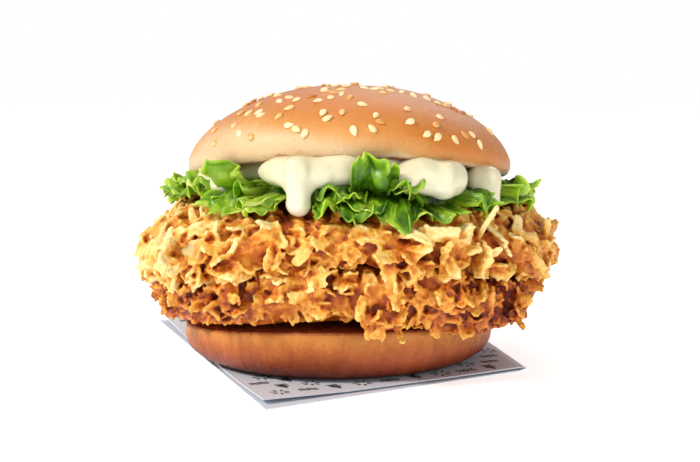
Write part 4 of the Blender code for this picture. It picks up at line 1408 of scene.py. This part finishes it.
def leaves():
    """The leaves of the solids, then smaller torn scraps between them."""
    rng = random.Random(5)
    found = []
    for leaf in FRONT_LEAVES + EXTRA_LEAVES:
        lengths = [value * MM for value in leaf[1:]]
        found.append((math.radians(leaf[0]), *lengths, rng.uniform(0, TURN)))
    for k in range(BACK_LEAVES):
        bearing = math.radians(4 + 172 * k / (BACK_LEAVES - 1) + rng.uniform(-4, 4))
        x, y = MAYO_RADIUS * math.cos(bearing), MAYO_RADIUS * math.sin(bearing)
        bend = ceiling(x, y) + 0.4 * (crown_base(x, y) - ceiling(x, y))
        width, reach = rng.uniform(17, 22) * MM, rng.uniform(56, 61) * MM
        tip = bend - rng.uniform(2, 7) * MM
        found.append((bearing, width, 53 * MM, bend, reach, tip, rng.uniform(0, TURN)))
    whole = []
    for bearing, width, *path in found:
        root = ceiling(LEAF_ROOT * math.cos(bearing), LEAF_ROOT * math.sin(bearing)) + 2.4 * MM
        whole.append((bearing, width, LEAF_ROOT, root, *path))
    for k in range(SCRAP_COUNT):
        bearing = TURN * (k + rng.uniform(-0.4, 0.4)) / SCRAP_COUNT
        x, y = 50 * MM * math.cos(bearing), 50 * MM * math.sin(bearing)
        low, high = ceiling(x, y) + 1.5 * MM, crown_base(x, y) - 1.0 * MM
        root = low + rng.uniform(0.1, 0.8) * (high - low)
        bend = min(high, root + rng.uniform(-1, 3) * MM)
        reach, tip = rng.uniform(54, 58.5) * MM, bend - rng.uniform(-1.5, 6) * MM
        width, phase = rng.uniform(9, 15) * MM, rng.uniform(0, TURN)
        whole.append((bearing, width, 45 * MM, root, 52 * MM, bend, reach, tip, phase))
    return whole


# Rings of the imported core: share of its radius, and of its height.
CORE_RADIUS = 45 * MM
CORE_RINGS = ((0.1, 0.1), (0.5, 0.1), (0.8, 0.1), (1.0, 0.15), (1.04, 0.4), (1.0, 0.75), (0.5, 0.9))


def lettuce_core():
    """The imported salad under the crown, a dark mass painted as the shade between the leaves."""
    angle = np.linspace(0, TURN, 120, endpoint=False)
    rings = []
    for share, level in CORE_RINGS:
        wave = 1 + 0.05 * np.sin(3 * angle) + 0.02 * np.sin(23 * angle + 9 * level)
        radius = CORE_RADIUS * share * wave
        x, y = radius * np.cos(angle), radius * np.sin(angle)
        room = 0.55 * (crown_base(x, y) - ceiling(x, y))
        rings.append(np.stack([x, y, ceiling(x, y) + level * room], axis=-1))
    return turned_solid(np.array(rings))


def make_lettuce():
    """Torn leaves, thin and frilled, over a packed core."""
    heap = Heap()
    heap.add(*lettuce_core())
    # The core gets the darkest leaf tone, as painted shade between the leaves.
    pale = [0.1] * len(heap.points)
    for k, leaf in enumerate(leaves()):
        grid, tone = leaf_grid(leaf, k + 1)
        offset = grid_normals(grid) * (LEAF_THICKNESS / 2)
        heap.add(*sheet_solid(grid + offset, grid - offset))
        pale.extend(np.concatenate([tone.ravel(), tone.ravel()]))
    lettuce = new_piece("lettuce_leaves", heap.points, heap.faces, lettuce_material())
    set_attribute(lettuce.data, "pale", pale)
    stands_for(lettuce, "lettuce")


# The paper


def finish_paper():
    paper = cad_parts["wrapping_paper"]
    paper.data.materials.clear()
    paper.data.materials.append(paper_material())


def stroke(line, width):
    """A closed thin strip along a line of flat points, as left and right edges."""
    line = np.array(line)
    way = np.gradient(line, axis=0)
    way /= np.linalg.norm(way, axis=1, keepdims=True)
    side = np.stack([-way[:, 1], way[:, 0]], axis=1) * width / 2
    return line + side, line - side


def sprig(size):
    """A stem with three pairs of slanted leaves."""
    stem = [(0, t * size) for t in np.linspace(-1, 1, 9)]
    lines = [stem]
    for level in (-0.45, 0.05, 0.55):
        for side in (-1, 1):
            steps = np.linspace(0.05, 1, 5)
            lines.append([(side * t * size * 0.6, size * (level + 0.45 * t)) for t in steps])
    return lines


def waves(size):
    """Two short wavy lines, one above the other."""
    t = np.linspace(-1, 1, 15)
    return [list(zip(t * size, size * (level + 0.16 * np.sin(7 * t)))) for level in (-0.25, 0.25)]


def burst(size):
    """Seven short rays round an open middle."""
    lines = []
    for turn in np.arange(7) * TURN / 7:
        x, y = size * math.cos(turn), size * math.sin(turn)
        lines.append([(t * x, t * y) for t in np.linspace(0.45, 1, 4)])
    return lines


def laid_on(tree, lines, place, turn):
    """A mark's strokes as thin solids on the paper, or none where it isn't flat under them."""
    spin = np.array([[math.cos(turn), math.sin(turn)], [-math.sin(turn), math.cos(turn)]])
    down, lift = Vector((0, 0, -1)), np.array([0, 0, PRINT_LIFT])
    solids = []
    for left, right in (stroke(line, PRINT_STROKE) for line in lines):
        flat = np.stack([left @ spin, right @ spin], axis=1) + place
        hits = [[tree.ray_cast(Vector((*p, 0.05)), down)[0] for p in pair] for pair in flat]
        if any(hit is None for pair in hits for hit in pair):
            return []
        high = np.array([[list(hit) for hit in pair] for pair in hits])
        if np.ptp(high[:, :, 2]) > PRINT_LEVEL:
            return []
        solids.append(sheet_solid(high + lift, high - lift / 2))
    return solids


def make_print():
    """Small generic marks in slanted rows on the part of the paper that shows."""
    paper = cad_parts["wrapping_paper"]
    tree = tree_of(paper.data, [paper.matrix_world @ v.co for v in paper.data.vertices])
    rng = random.Random(7)
    heap = Heap()
    cosine, sine = math.cos(PRINT_TURN), math.sin(PRINT_TURN)
    for row in range(-PRINT_REACH, PRINT_REACH + 1):
        for column in range(-PRINT_REACH, PRINT_REACH + 1):
            x, y = (column + 0.5 * (row % 2)) * PRINT_COLUMN, row * PRINT_ROW
            turn = 0.55 + rng.uniform(-0.12, 0.12)
            mark = (sprig, waves, burst)[(row + 2 * column) % 3]
            x, y = x * cosine - y * sine, x * sine + y * cosine
            if math.hypot(x - HEEL_SLIP, y) < HEEL_FOOT_RADIUS + 3 * MM:
                continue
            for solid in laid_on(tree, mark(rng.uniform(*MARK_SIZES)), (x, y), turn):
                heap.add(*solid)
    marks = new_piece("paper_print", heap.points, heap.faces, ink_material(), smooth_shading=False)
    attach(marks, "root")


# The studio


def make_floor():
    corners = ((-1, -1), (1, -1), (1, 1), (-1, 1))
    points = [(x * FLOOR_SIZE, y * FLOOR_SIZE, 0) for x, y in corners]
    floor = new_piece("studio_floor", points, [(0, 1, 2, 3)], floor_material(), False)


def make_lights():
    for name, place, size, power, colour in LIGHTS:
        light = bpy.data.lights.new(name, "AREA")
        light.shape = "DISK"
        light.size = size
        light.energy = power
        light.color = colour
        obj = add_object(name, light)
        obj.location = place
        obj.rotation_euler = (LIGHT_TARGET - Vector(place)).to_track_quat("-Z", "Y").to_euler()


def make_surround():
    """White behind the object, and a weaker white light from all round."""
    world = bpy.data.worlds.new("studio")
    world.use_nodes = True
    nodes, links = world.node_tree.nodes, world.node_tree.links
    around, behind = nodes["Background"], nodes.new("ShaderNodeBackground")
    for background, strength in ((around, SURROUND_STRENGTH), (behind, 1.0)):
        background.inputs["Color"].default_value = (1, 1, 1, 1)
        background.inputs["Strength"].default_value = strength
    choice = nodes.new("ShaderNodeMixShader")
    links.new(nodes.new("ShaderNodeLightPath").outputs["Is Camera Ray"], choice.inputs[0])
    links.new(around.outputs[0], choice.inputs[1])
    links.new(behind.outputs[0], choice.inputs[2])
    links.new(choice.outputs[0], nodes["World Output"].inputs["Surface"])
    bpy.context.scene.world = world
    bpy.context.scene.view_settings.view_transform = "Standard"


def make_camera():
    data = bpy.data.cameras.new("camera")
    data.sensor_width = 36.0
    data.lens = data.sensor_width * FOCAL_PIXELS / IMAGE_WIDTH
    data.clip_start = 0.01
    camera = add_object("camera", data)
    away = Vector((0, -math.cos(CAMERA_ELEVATION), math.sin(CAMERA_ELEVATION)))
    camera.location = CAMERA_TARGET + CAMERA_DISTANCE * away
    camera.rotation_euler = (math.pi / 2 - CAMERA_ELEVATION, 0, 0)
    bpy.context.scene.camera = camera


make_camera()
make_lights()
make_surround()
make_floor()
finish_paper()
make_print()
make_heel()
make_crust(
    "lower_crust", "lower_fillet", lower_clear, LOWER_KINDS, (420, lower_shown), 31, lower_tone_and_painted_shade
)
make_crust(
    "upper_crust", "upper_fillet", upper_clear, UPPER_KINDS, (320, upper_shown), 57, upper_tone_and_painted_shading
)
make_lettuce()
make_mayo()
make_crown()
make_seeds()
